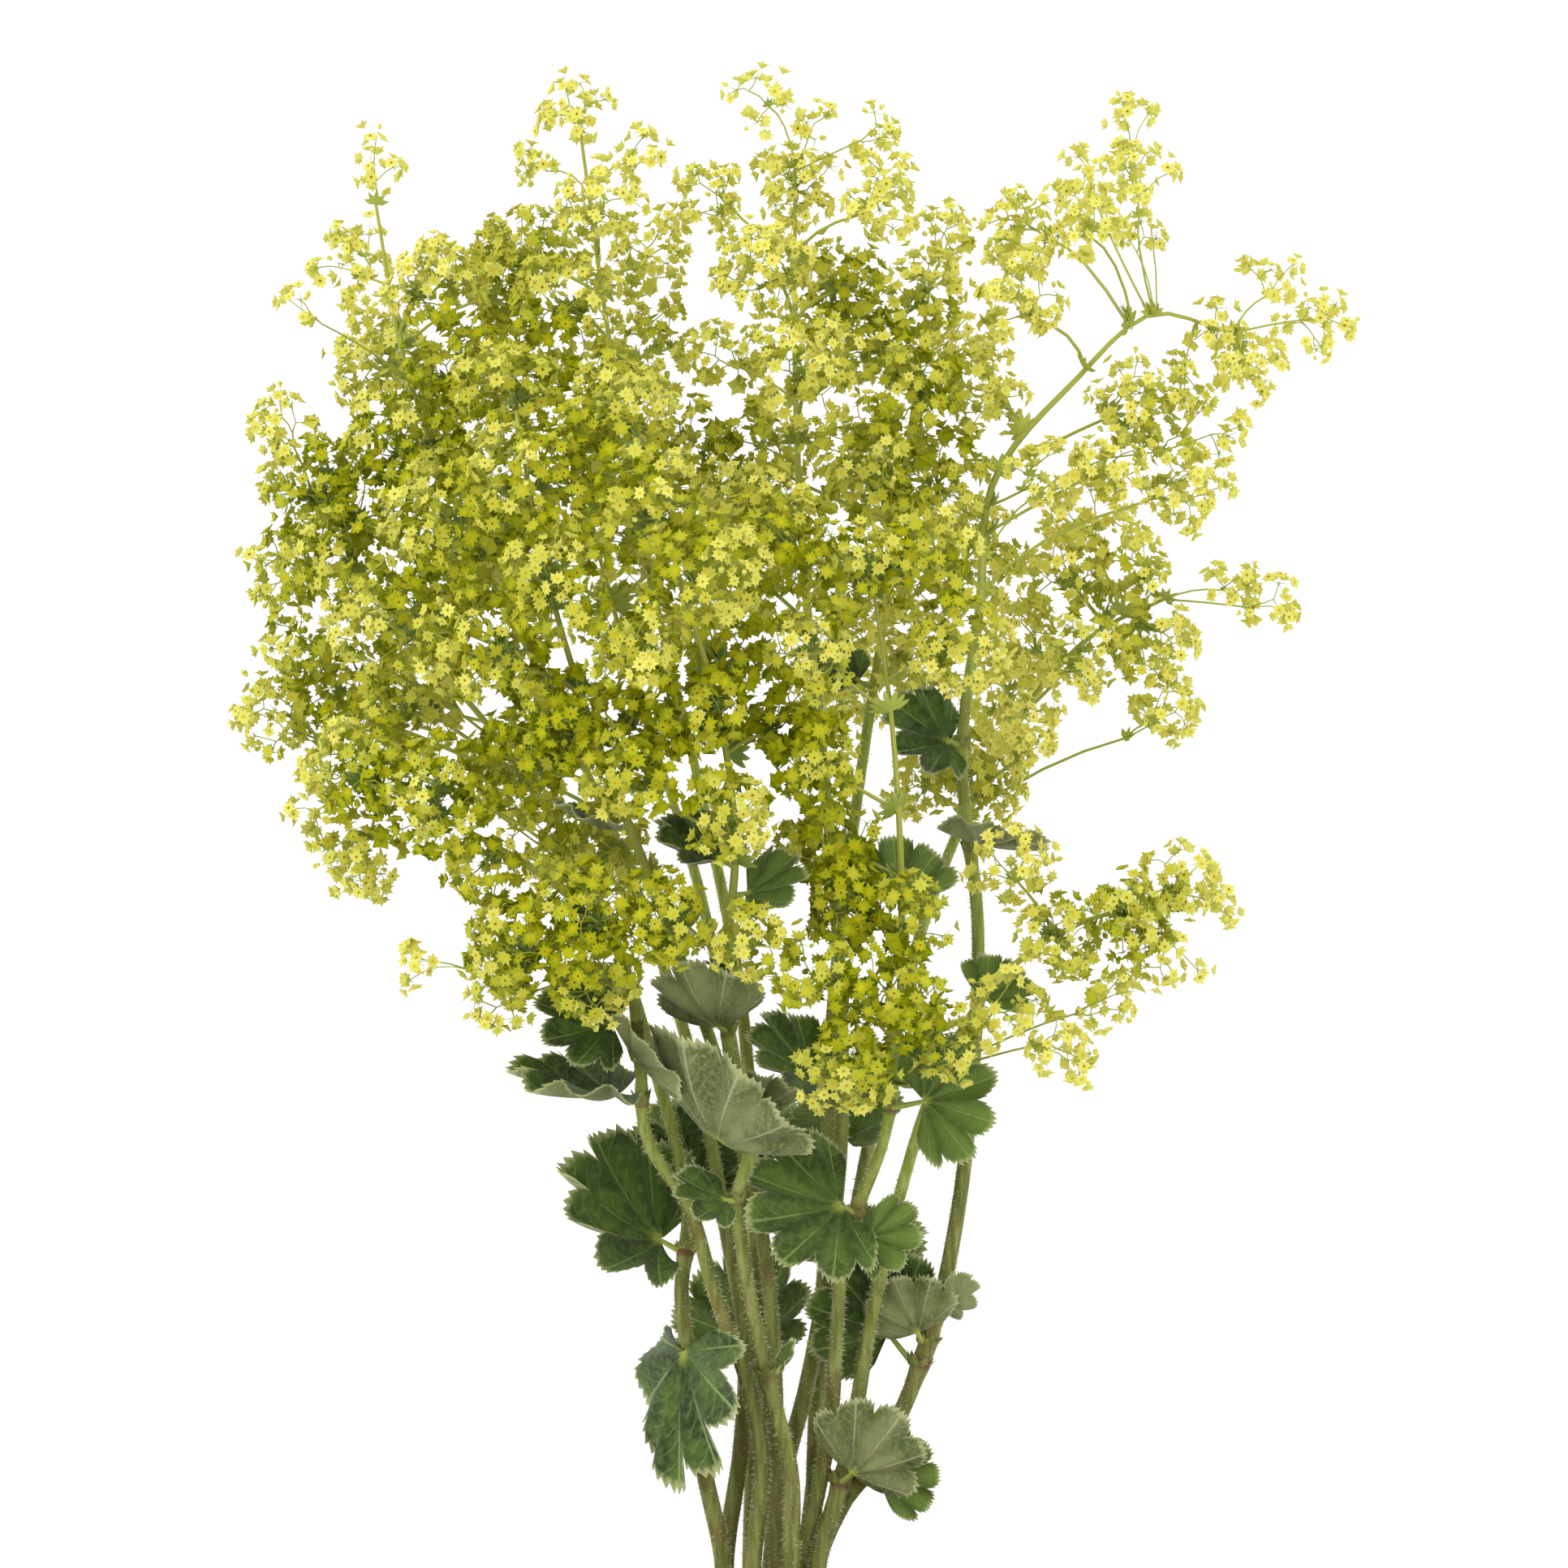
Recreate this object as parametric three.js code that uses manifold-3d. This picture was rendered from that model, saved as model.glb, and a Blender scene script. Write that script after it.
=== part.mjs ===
// A potted lady's mantle in flower: a plain clay pot of potting soil, thirteen stems that rise from one
// crown, their lobed and pleated leaves, and the loose yellow-green sprays of small florets. Millimetres,
// +Z up, the origin in the middle of the pot's underside, and -Y towards the viewer of the photo.

import * as THREE from 'three';
import { mergeVertices } from 'three/addons/utils/BufferGeometryUtils.js';
import Module from 'manifold-3d';

const wasm = await Module();
wasm.setup();

// Driving dimensions, in millimetres.
const POT_HEIGHT = 150;
const POT_RIM_RADIUS = 84;
const POT_FOOT_RADIUS = 58;
const POT_WALL = 6;
const POT_FLOOR = 9;
const POT_BAND_HEIGHT = 28;
const POT_BAND_STEP = 6;
const POT_EDGE = 2;
const DRAIN_HOLE_RADIUS = 6;
const DRAIN_HOLE_CIRCLE = 32;
const SOIL_LEVEL = 136;
const SOIL_CROWN = 2.2;
const SOIL_LUMP = 1.6;
const CLEARANCE = 0.3;
const COLLAR_HEIGHT = 146;
const STEM_FOOT_RADIUS = 2.5;
const STEM_TOP_RADIUS = 1.4;
const STEM_STEP = 34;
const AXIS_TIP_RADIUS = 0.9;
const TWIG_RADIUS = 0.9;
const TWIG_ROOT_RADIUS = 0.5;
const BLADE_THICKNESS = 0.9;
const STALK_HALF_WIDTH = 0.9;
const LARGE_LEAF = 30;
const FLORET_RADIUS = 9.5;
const FLORET_DEPTH = 1.4;
const SMALL_PLUME = 13.5;
const LONG_BRANCH = 24;
const SEAT_GAP = 0.45;

// Shares of another size, and the angles, in degrees, of a blade and of the turns that clear a leaf.
const SOIL_RINGS = [0.66, 0.33];
const SOIL_LUMPS = 0.9;
const BLADE_SPREAD = { 5: 185, 7: 228 };
const BLADE_NOTCH = 0.8;
const BLADE_BASE = 0.55;
const BLADE_SHOULDER = 0.24;
const BLADE_NARROWING = 0.2;
const BLADE_RING = 0.55;
const PLEAT = 0.09;
const STALK_RISE = 0.6;
const FLORET_NOTCH = 0.5;
const FLORET_SPREAD = 0.6;
const CORE_SHARE = 0.58;
const BRANCH_SAG = 0.12;
const BRANCH_MIDDLE = 0.45;
const BRANCH_CORE_REACH = 1.4;
const BRANCH_SHORT_REACH = 0.7;
const BRANCH_RISE = 0.5;
const BRANCH_FALL_COST = 2;
const NEAR_AXIS = 1.3;
const TURNS = [0, 6, 12, 20, 30, 42, 56];

// How many florets a plume has: one to so much of its radius squared, and never nearer than so much apart.
const FLORET_AREA = 130;
const FLORET_APART = THREE.MathUtils.degToRad(60);

// Facets and repeats.
const POT_FACETS = 20;
const DRAIN_HOLE_COUNT = 3;
const DRAIN_HOLE_FACETS = 8;
const STEM_SIDES = 5;
const SEED = 20417;

// The stems. path runs from the foot in the soil, through the crown, to the tip of the spray; junction is the
// height where the bare stem ends and the spray begins. Each plume of the spray is [x, y, z, radius].
const STEMS = [
  {
    junction: 345,
    path: [[-20, -6, 112], [-18, -6, 140], [-16.3, -6, 165], [-21.5, -8, 192], [-24.5, -9, 216],
      [-27.7, -9, 240], [-26, -6, 262], [-36, 0, 304], [-50, 4, 345], [-74, 6, 385], [-103, 6, 420],
      [-127, 6, 452]],
    plumes: [[-134, 4, 436, 12], [-128, 10, 458, 14], [-136, 14, 476, 9], [-120, -14, 438, 14],
      [-138, -6, 396, 11], [-121, 4, 402, 15], [-126, -16, 382, 8], [-98, 26, 424, 15],
      [-100, -18, 398, 14], [-62, -6, 362, 12], [-130, -10, 415, 10], [-110, 0, 452, 12]],
  },
  {
    junction: 322,
    path: [[-5, -14, 112], [-6.5, -14, 140], [-8.4, -15, 165], [-6, -17, 197], [-10.3, -18.5, 218],
      [-18.5, -20, 240], [-25.5, -23, 264], [-36.5, -27, 282], [-38.7, -31, 306], [-43, -38, 330],
      [-60, -46, 350], [-86, -48, 366], [-112, -45, 377]],
    plumes: [[-124, -35, 370, 8], [-112, -40, 358, 11], [-111, -48, 384, 15], [-92, -56, 374, 16],
      [-80, -52, 354, 10], [-71, -62, 335, 14], [-54, -68, 345, 13], [-98, -50, 330, 5],
      [-50, -56, 326, 11], [-75, -50, 322, 9]],
  },
  {
    junction: 352,
    path: [[-13, 5, 112], [-14.5, 5, 140], [-16, 5, 165], [-11.7, 6, 197], [-10.6, 7, 226],
      [-15.2, 9, 253], [-22, 13, 290], [-32, 18, 325], [-47, 21, 365], [-68, 22, 410], [-90, 18, 455],
      [-104, 12, 495], [-111, 8, 535]],
    plumes: [[-112, 6, 547, 7], [-119, 26, 520, 10], [-131, -6, 506, 6], [-112, 34, 494, 15],
      [-94, -10, 512, 13], [-102, -4, 470, 17], [-87, 0, 490, 15], [-84, 36, 442, 16],
      [-78, -12, 446, 15], [-77, 38, 516, 11], [-73, 16, 380, 14]],
  },
  {
    junction: 372,
    path: [[-9, 15, 112], [-9, 16, 140], [-9, 17, 165], [-8, 20, 210], [-8, 23, 260], [-12, 29, 320],
      [-24, 32, 380], [-38, 29, 440], [-48, 24, 500], [-56, 20, 558]],
    plumes: [[-57, 20, 562, 9], [-67, 36, 548, 6], [-39, 4, 549, 7], [-51, -2, 534, 11],
      [-72, 44, 526, 13], [-58, -8, 507, 15], [-37, 42, 524, 11], [-76, 48, 497, 13], [-36, 50, 498, 14],
      [-44, 2, 448, 15], [-48, -20, 480, 15], [-26, 12, 468, 13]],
  },
  {
    junction: 352,
    path: [[-1, -4, 112], [-1, -4, 140], [-1.5, -4.5, 165], [-2, -6, 200], [-5, -10, 250],
      [-17, -20, 300], [-33, -38, 345], [-50, -54, 390], [-62, -64, 430], [-70, -64, 470]],
    plumes: [[-90, -48, 446, 18], [-68, -62, 456, 17], [-60, -78, 431, 15], [-80, -64, 415, 17],
      [-60, -62, 395, 15], [-107, -40, 420, 15], [-73, -34, 481, 16], [-70, -42, 384, 13],
      [-50, -30, 362, 13], [-37, -58, 396, 12]],
  },
  {
    junction: 328,
    path: [[4, -17, 112], [3, -17, 140], [1.8, -17.5, 165], [1.8, -19, 192], [-4.2, -22, 217],
      [-9, -25, 240], [-12.3, -29, 267], [-9, -32, 281], [-14, -37, 300], [-15.6, -42, 327],
      [-13, -49, 361], [-17, -57, 395], [-27, -66, 430], [-38, -66, 465]],
    plumes: [[-44, -56, 474, 15], [-36, -72, 450, 16], [-18, -80, 433, 14], [-38, -82, 414, 13],
      [-21, -68, 396, 12], [-41, -72, 380, 12], [-32, -66, 343, 12], [-9, -68, 336, 10],
      [-14, -74, 370, 12], [-16, -46, 414, 13], [0, -44, 396, 12]],
  },
  {
    junction: 405,
    path: [[-2, 8, 112], [-3, 8, 140], [-3.5, 8, 165], [0.5, 8, 192], [6, 8, 213], [11, 9, 240],
      [15.5, 11, 280], [15, 12, 330], [10, 12, 390], [5, 10, 440], [3, 6, 490], [3, 6, 545]],
    plumes: [[-6, -8, 562, 8], [23, 22, 557, 7], [10, 10, 556, 5], [4, 8, 541, 11], [-20, 28, 538, 10],
      [26, -14, 536, 11], [-6, -22, 517, 13], [15, 30, 515, 13], [6, -30, 489, 15], [-17, 22, 495, 10],
      [-14, 30, 436, 16], [-10, -16, 452, 15], [20, -14, 428, 14]],
  },
  {
    junction: 400,
    path: [[9, 14, 112], [8.5, 15, 140], [8, 16, 165], [9, 19, 210], [12, 23, 262], [13, 27, 310],
      [19, 33, 365], [27, 36, 420], [34, 32, 470], [40, 24, 515]],
    plumes: [[44, 32, 529, 9], [38, 6, 511, 12], [34, -8, 486, 14], [50, 46, 497, 11],
      [21, -14, 462, 15], [42, 4, 458, 15], [-6, 20, 470, 13], [25, 62, 468, 17], [50, 60, 440, 17],
      [14, 84, 404, 14], [21, 28, 500, 13], [36, 20, 413, 12]],
  },
  {
    junction: 297,
    path: [[8, -6, 112], [6, -5.5, 140], [4.2, -5, 165], [8.6, -7, 184], [12.5, -9, 205],
      [14.3, -13, 230], [16.3, -17, 253], [27.3, -24, 284], [31, -31, 318], [31, -38, 360],
      [28, -44, 400], [22, -48, 440]],
    plumes: [[-4, -50, 444, 15], [17, -56, 436, 14], [38, -44, 437, 14], [6, -66, 413, 12],
      [47, -47, 415, 14], [8, -56, 384, 12], [27, -60, 321, 14], [16, -62, 302, 12], [34, -53, 342, 10],
      [7, -66, 329, 10], [45, -52, 309, 10], [17, -46, 346, 12], [12, -38, 362, 12]],
  },
  {
    junction: 420,
    path: [[13, 5, 112], [11, 4, 140], [9, 3, 165], [16.3, 2, 183], [28.2, 0, 200], [37.6, -1, 222],
      [43, -1, 240], [49.3, -1, 278], [52.6, 0, 337], [48.2, 0, 385], [53, 2, 425], [57, 2, 460],
      [79, 0, 487], [100, 4, 505], [122, 10, 500]],
    plumes: [[94, -5, 560, 6], [96, -18, 543, 9], [82, 20, 541, 9], [66, 30, 530, 11], [84, -22, 525, 10],
      [99, -6, 526, 6], [63, -18, 509, 12], [109, 8, 486, 8], [115, 12, 501, 8], [134, 15, 517, 8],
      [145, 18, 503, 9], [127, 12, 493, 10], [118, 14, 473, 8], [96, 4, 481, 12], [90, -6, 464, 11],
      [110, 0, 458, 11], [71, -9, 462, 10], [54, 4, 484, 12]],
  },
  {
    junction: 368,
    path: [[3, 22, 112], [4.5, 22, 140], [6, 22, 165], [13, 27, 220], [28, 34, 300], [44, 36, 355],
      [64, 32, 395], [84, 24, 418], [104, 20, 428]],
    plumes: [[122, 20, 432, 8], [133, 22, 427, 8], [97, 10, 437, 10], [77, 14, 436, 13],
      [101, 12, 415, 11], [103, 10, 398, 10], [80, 2, 412, 12], [64, 22, 418, 11], [64, -10, 392, 10],
      [85, 46, 452, 11], [62, 64, 402, 14], [54, 22, 380, 13], [38, 22, 378, 10]],
  },
  {
    junction: 300,
    path: [[13, -8, 112], [11, -8.5, 140], [9, -9, 165], [17, -8, 195], [24, -9, 235], [32, -18, 270],
      [41, -27, 298], [56, -34, 324], [78, -38, 340], [100, -38, 346]],
    plumes: [[106, -35, 353, 10], [118, -32, 346, 6], [91, -42, 342, 12], [103, -43, 331, 8],
      [74, -43, 336, 11], [76, -46, 308, 9], [60, -49, 320, 9], [61, -36, 357, 10], [87, -43, 320, 8]],
  },
  {
    junction: 360,
    path: [[-3, 24, 112], [-3, 25, 140], [-3, 26, 165], [-6, 33, 220], [-12, 46, 290], [-24, 58, 350],
      [-40, 66, 400], [-54, 66, 450]],
    plumes: [[-72, 60, 440, 17], [-94, 48, 468, 14], [-40, 80, 425, 17], [-50, 68, 470, 16],
      [-12, 82, 446, 16], [-98, 46, 410, 15], [-62, 74, 396, 14]],
  },
];

// The leaves. stem counts from 1 and at is the height where the leaf leaves it, in the direction from. aim is
// the blade's heading (degrees in plan, 0 to +X, 90 to +Y), its pitch (degrees up) and its roll round its
// midline (degrees, its upper face to the left). size is the midline's length, stalk the length of the leaf's
// stalk, and cup says how far the edge is raised.
const LEAVES = [
  { stem: 1, at: 224, from: 262, aim: [205, -80, -13], size: 36, lobes: 7, stalk: 3, cup: -0.1 },
  { stem: 1, at: 251, from: 200, aim: [186, 26, 40], size: 33, lobes: 7, stalk: 5, cup: 0.3 },
  { stem: 2, at: 293, from: 190, aim: [183, 3, 10], size: 29, lobes: 7, stalk: 4, cup: 0.2 },
  { stem: 6, at: 281, from: 235, aim: [206, 6, -20], size: 34, lobes: 7, stalk: 5, cup: 0.34 },
  { stem: 6, at: 266, from: 220, aim: [205, 2, 40], size: 15, lobes: 5, stalk: 2, cup: 0.12 },
  { stem: 6, at: 290, from: -70, aim: [-66, 14, 6], size: 17, lobes: 7, stalk: 2, cup: 0.36 },
  { stem: 9, at: 262, from: 215, aim: [192, -10, 54], size: 27, lobes: 7, stalk: 4, cup: 0.12 },
  { stem: 9, at: 256, from: -30, aim: [-20, -12, -58], size: 15, lobes: 5, stalk: 2, cup: 0.2 },
  { stem: 9, at: 291, from: -40, aim: [-10, 4, -66], size: 22, lobes: 7, stalk: 10, cup: 0.1 },
  { stem: 10, at: 220, from: 160, aim: [166, 44, 56], size: 24, lobes: 7, stalk: 9, cup: 0.14 },
  { stem: 10, at: 226, from: 235, aim: [205, 60, -34], size: 16, lobes: 5, stalk: 3, cup: 0.2 },
  { stem: 12, at: 189, from: -70, aim: [-20, 46, 60], size: 21, lobes: 5, stalk: 5, cup: 0.2 },
  { stem: 10, at: 189, from: -40, aim: [-12, 40, -60], size: 16, lobes: 7, stalk: 4, cup: 0.2 },
  { stem: 10, at: 236, from: -60, aim: [-24, 62, 0], size: 10, lobes: 5, stalk: 1.5, cup: 0.2 },
  { stem: 6, at: 219, from: -30, aim: [-20, 50, -30], size: 8, lobes: 5, stalk: 1.5, cup: 0.2 },
  { stem: 2, at: 312, from: 190, aim: [186, 12, 50], size: 21, lobes: 7, stalk: 4, cup: 0.1 },
  { stem: 2, at: 304, from: 260, aim: [275, 6, 30], size: 18, lobes: 5, stalk: 3, cup: 0.14 },
  { stem: 6, at: 312, from: 230, aim: [228, 36, -10], size: 21, lobes: 5, stalk: 2, cup: 0.3 },
  { stem: 6, at: 356, from: 180, aim: [168, 24, 20], size: 19, lobes: 5, stalk: 2, cup: 0.2 },
  { stem: 6, at: 348, from: -30, aim: [-12, 8, -40], size: 17, lobes: 5, stalk: 2, cup: 0.2 },
  { stem: 9, at: 344, from: 90, aim: [100, 50, 0], size: 19, lobes: 5, stalk: 2, cup: 0.2 },
  { stem: 10, at: 360, from: -50, aim: [-62, 14, 0], size: 20, lobes: 5, stalk: 2, cup: 0.16 },
  { stem: 10, at: 388, from: 220, aim: [190, 12, 50], size: 20, lobes: 7, stalk: 2, cup: 0.14 },
  { stem: 8, at: 404, from: 190, aim: [170, 24, 30], size: 16, lobes: 5, stalk: 2, cup: 0.2 },
  { stem: 5, at: 366, from: 200, aim: [190, 20, 20], size: 17, lobes: 5, stalk: 2, cup: 0.2 },
  { stem: 12, at: 318, from: 90, aim: [40, 30, -40], size: 14, lobes: 5, stalk: 2, cup: 0.2 },
  { stem: 3, at: 262, from: 130, aim: [150, 26, 0], size: 27, lobes: 7, stalk: 6, cup: 0.2 },
  { stem: 4, at: 220, from: 100, aim: [86, 42, 0], size: 26, lobes: 7, stalk: 8, cup: 0.2 },
  { stem: 8, at: 277, from: 60, aim: [40, 26, 0], size: 25, lobes: 7, stalk: 6, cup: 0.2 },
  { stem: 11, at: 244, from: 80, aim: [92, 26, 0], size: 24, lobes: 7, stalk: 6, cup: 0.2 },
  { stem: 13, at: 274, from: 110, aim: [100, 22, 0], size: 30, lobes: 7, stalk: 5, cup: 0.2 },
  { stem: 7, at: 296, from: 190, aim: [196, 22, 30], size: 22, lobes: 7, stalk: 4, cup: 0.2 },
];

// A seeded random number from 0 to 1.
function seeded(seed) {
  let state = seed >>> 0;
  return () => {
    state = (state + 0x6d2b79f5) >>> 0;
    let t = state;
    t = Math.imul(t ^ (t >>> 15), t | 1);
    t ^= t + Math.imul(t ^ (t >>> 7), t | 61);
    return ((t ^ (t >>> 14)) >>> 0) / 4294967296;
  };
}

const vector = ([x, y, z]) => new THREE.Vector3(x, y, z);

function meanOf(points) {
  const sum = new THREE.Vector3();
  for (const point of points) sum.add(point);
  return sum.divideScalar(points.length);
}

// The closed solid of a list of points and triangles.
function solidFrom(points, triangles) {
  const vertProperties = new Float32Array(points.flatMap((p) => [p.x, p.y, p.z]));
  const triVerts = new Uint32Array(triangles.flat());
  return new wasm.Manifold(new wasm.Mesh({ numProp: 3, vertProperties, triVerts }));
}

// The points and triangles of a three.js geometry, with shared points merged.
function pointsAndTriangles(geometry) {
  const bare = new THREE.BufferGeometry().setAttribute('position', geometry.getAttribute('position'));
  bare.setIndex(geometry.index);
  const merged = mergeVertices(bare, 1e-3);
  const places = merged.getAttribute('position');
  const index = merged.index.array;
  const points = [];
  const triangles = [];
  for (let i = 0; i < places.count; i++) points.push(new THREE.Vector3().fromBufferAttribute(places, i));
  for (let i = 0; i < index.length; i += 3) triangles.push([index[i], index[i + 1], index[i + 2]]);
  return { points, triangles };
}

function solidOfGeometry(geometry) {
  const { points, triangles } = pointsAndTriangles(geometry);
  return solidFrom(points, triangles);
}

// A solid as a named mesh.
function meshOf(name, solid, material) {
  const { numProp, vertProperties, triVerts } = solid.getMesh();
  const positions = new Float32Array((vertProperties.length / numProp) * 3);
  for (let i = 0; i < positions.length / 3; i++) {
    positions.set(vertProperties.subarray(i * numProp, i * numProp + 3), i * 3);
  }
  const geometry = new THREE.BufferGeometry();
  geometry.setAttribute('position', new THREE.BufferAttribute(positions, 3));
  geometry.setIndex(new THREE.BufferAttribute(new Uint32Array(triVerts), 1));
  geometry.computeVertexNormals();
  const mesh = new THREE.Mesh(geometry, material);
  mesh.name = name;
  return mesh;
}

function curveThrough(points) {
  return new THREE.CatmullRomCurve3(points, false, 'centripetal');
}

// The share of a rising curve's length at which it first passes a height.
function shareAtHeight(curve, height) {
  const steps = 400;
  for (let i = 1; i <= steps; i++) {
    if (curve.getPointAt(i / steps).z >= height) return i / steps;
  }
  return 1;
}

// The centres, directions and radii of a tube's rings along a curve from share u0 to share u1.
function ringsAlong(curve, u0, u1, r0, r1, steps) {
  return Array.from({ length: steps + 1 }, (_, i) => {
    const t = i / steps;
    const u = u0 + (u1 - u0) * t;
    return { centre: curve.getPointAt(u), along: curve.getTangentAt(u), radius: r0 + (r1 - r0) * t };
  });
}

// A closed round tube through a list of rings.
function tube(rings, sides) {
  const points = [];
  const triangles = [];
  const across = new THREE.Vector3(1, 0, 0);
  for (const { centre, along, radius } of rings) {
    across.addScaledVector(along, -across.dot(along)).normalize();
    const beside = new THREE.Vector3().crossVectors(along, across);
    for (let k = 0; k < sides; k++) {
      const angle = (2 * Math.PI * k) / sides;
      points.push(centre.clone()
        .addScaledVector(across, radius * Math.cos(angle))
        .addScaledVector(beside, radius * Math.sin(angle)));
    }
  }
  const last = (rings.length - 1) * sides;
  for (let row = 0; row < last; row += sides) {
    for (let k = 0; k < sides; k++) {
      const a = row + k;
      const b = row + ((k + 1) % sides);
      triangles.push([a, b, b + sides], [a, b + sides, a + sides]);
    }
  }
  for (let k = 1; k < sides - 1; k++) triangles.push([0, k + 1, k], [last, last + k, last + k + 1]);
  return solidFrom(points, triangles);
}

// The pot: a turned shell with a rim band and drainage holes

// The pot's inner radius at a height.
function potInnerRadius(z) {
  const bandFoot = POT_HEIGHT - POT_BAND_HEIGHT;
  const low = POT_FOOT_RADIUS - POT_WALL;
  const middle = POT_RIM_RADIUS - POT_BAND_STEP - POT_WALL;
  const high = POT_RIM_RADIUS - POT_WALL - POT_EDGE;
  if (z < bandFoot) return low + ((middle - low) * (z - POT_FLOOR)) / (bandFoot - POT_FLOOR);
  return middle + ((high - middle) * (z - bandFoot)) / (POT_HEIGHT - bandFoot);
}

function pot() {
  const foot = POT_FOOT_RADIUS;
  const rim = POT_RIM_RADIUS;
  const bandFoot = POT_HEIGHT - POT_BAND_HEIGHT;
  const profile = [
    [0, 0], [foot - POT_EDGE, 0], [foot, POT_EDGE], [rim - POT_BAND_STEP, bandFoot],
    [rim - POT_EDGE / 2, bandFoot + POT_EDGE], [rim, POT_HEIGHT - POT_EDGE], [rim - POT_EDGE, POT_HEIGHT],
    [potInnerRadius(POT_HEIGHT), POT_HEIGHT], [potInnerRadius(bandFoot), bandFoot],
    [potInnerRadius(POT_FLOOR), POT_FLOOR], [0, POT_FLOOR],
  ].map(([r, z]) => new THREE.Vector2(r, z));
  const shell = new THREE.LatheGeometry(profile, POT_FACETS);
  shell.rotateX(Math.PI / 2);
  let body = solidOfGeometry(shell);
  for (let i = 0; i < DRAIN_HOLE_COUNT; i++) {
    const angle = (2 * Math.PI * (i + 0.25)) / DRAIN_HOLE_COUNT;
    const radius = DRAIN_HOLE_RADIUS;
    const hole = new THREE.CylinderGeometry(radius, radius, 3 * POT_FLOOR, DRAIN_HOLE_FACETS);
    hole.rotateX(Math.PI / 2);
    hole.translate(DRAIN_HOLE_CIRCLE * Math.cos(angle), DRAIN_HOLE_CIRCLE * Math.sin(angle), POT_FLOOR / 2);
    body = body.subtract(solidOfGeometry(hole));
  }
  return body;
}

// The soil: it fills the pot, with a lumpy top and a plain hole for each stem

function soil(curves) {
  const random = seeded(SEED);
  const bandFoot = POT_HEIGHT - POT_BAND_HEIGHT;
  const level = (share) => SOIL_LEVEL + SOIL_CROWN * (1 - share * share);
  const wallGap = 2 * CLEARANCE;
  const edge = potInnerRadius(SOIL_LEVEL) - wallGap;
  const profile = [
    [0, POT_FLOOR + CLEARANCE], [potInnerRadius(POT_FLOOR) - wallGap, POT_FLOOR + CLEARANCE],
    [potInnerRadius(bandFoot) - wallGap, bandFoot], [edge, level(1)],
    ...SOIL_RINGS.map((share) => [share * edge, level(share)]), [0, level(0)],
  ].map(([r, z]) => new THREE.Vector2(r, z));
  const heap = new THREE.LatheGeometry(profile, POT_FACETS);
  heap.rotateX(Math.PI / 2);
  const { points, triangles } = pointsAndTriangles(heap);
  for (const point of points) {
    const inside = Math.hypot(point.x, point.y) < SOIL_LUMPS * edge;
    if (inside && point.z >= SOIL_LEVEL) point.z += SOIL_LUMP * (2 * random() - 1);
  }
  let body = solidFrom(points, triangles);
  for (const curve of curves) {
    const [foot, collar] = footOf(curve);
    const radius = STEM_FOOT_RADIUS + 2 * CLEARANCE;
    const bottom = { ...foot, centre: foot.centre.clone().addScaledVector(foot.along, -CLEARANCE), radius };
    body = body.subtract(tube([bottom, { ...collar, radius }], STEM_SIDES));
  }
  return body;
}

// The stems: tapered tubes, straight where they stand in the soil

function footOf(curve) {
  const foot = curve.getPointAt(0);
  const collar = curve.getPointAt(shareAtHeight(curve, COLLAR_HEIGHT));
  const along = collar.clone().sub(foot).normalize();
  return [foot, collar].map((centre) => ({ centre, along, radius: STEM_FOOT_RADIUS }));
}

function stemRings(curve, junction) {
  const collar = shareAtHeight(curve, COLLAR_HEIGHT);
  const steps = Math.ceil(((junction - collar) * curve.getLength()) / STEM_STEP);
  const upper = ringsAlong(curve, collar, junction, STEM_FOOT_RADIUS, STEM_TOP_RADIUS, steps);
  return [...footOf(curve), ...upper.slice(1)];
}

// The axis of a spray goes on from its stem, past a small gap.
function axisRings(curve, junction) {
  const gap = CLEARANCE / curve.getLength();
  const steps = Math.ceil(((1 - junction) * curve.getLength()) / STEM_STEP);
  return ringsAlong(curve, junction + gap, 1, STEM_TOP_RADIUS, AXIS_TIP_RADIUS, steps);
}

// The centre, the radius and the direction of a chain of rings at a height.
function ringAt(rings, height) {
  const i = rings.findIndex((ring) => ring.centre.z > height);
  const [a, b] = [rings[i - 1], rings[i]];
  const t = (height - a.centre.z) / (b.centre.z - a.centre.z);
  const up = b.centre.clone().sub(a.centre).normalize();
  return { centre: a.centre.clone().lerp(b.centre, t), radius: a.radius + (b.radius - a.radius) * t, up };
}

// The leaves: lobed, pleated blades, each in one piece with its stalk

// A blade's edge as polar points, from one basal lobe round to the other. Each lobe has a notch and two
// shoulders, and the fold runs high at the notches and low along the middle of the lobes.
function bladeEdge(lobes, spread) {
  const points = [];
  const step = spread / lobes;
  for (let i = 0; i < lobes; i++) {
    const middle = (i - (lobes - 1) / 2) * step;
    const reach = 1 - BLADE_NARROWING * ((2 * middle) / spread) ** 2;
    points.push({ angle: middle - step / 2, reach: (i === 0 ? BLADE_BASE : BLADE_NOTCH) * reach, fold: 1 });
    points.push({ angle: middle - BLADE_SHOULDER * step, reach, fold: -0.6 });
    points.push({ angle: middle + BLADE_SHOULDER * step, reach, fold: -0.6 });
  }
  points.push({ angle: spread / 2, reach: points[0].reach, fold: 1 });
  return points;
}

// The directions of a leaf: along its midline, out of its upper face, and across it.
function leafAxes(aim) {
  const [h, p, r] = aim.map(THREE.MathUtils.degToRad);
  const along = new THREE.Vector3(Math.cos(h) * Math.cos(p), Math.sin(h) * Math.cos(p), Math.sin(p));
  const left = new THREE.Vector3(-Math.sin(h), Math.cos(h), 0);
  const up = new THREE.Vector3().crossVectors(along, left);
  const face = up.multiplyScalar(Math.cos(r)).addScaledVector(left, Math.sin(r));
  return { along, face, across: new THREE.Vector3().crossVectors(face, along) };
}

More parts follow.
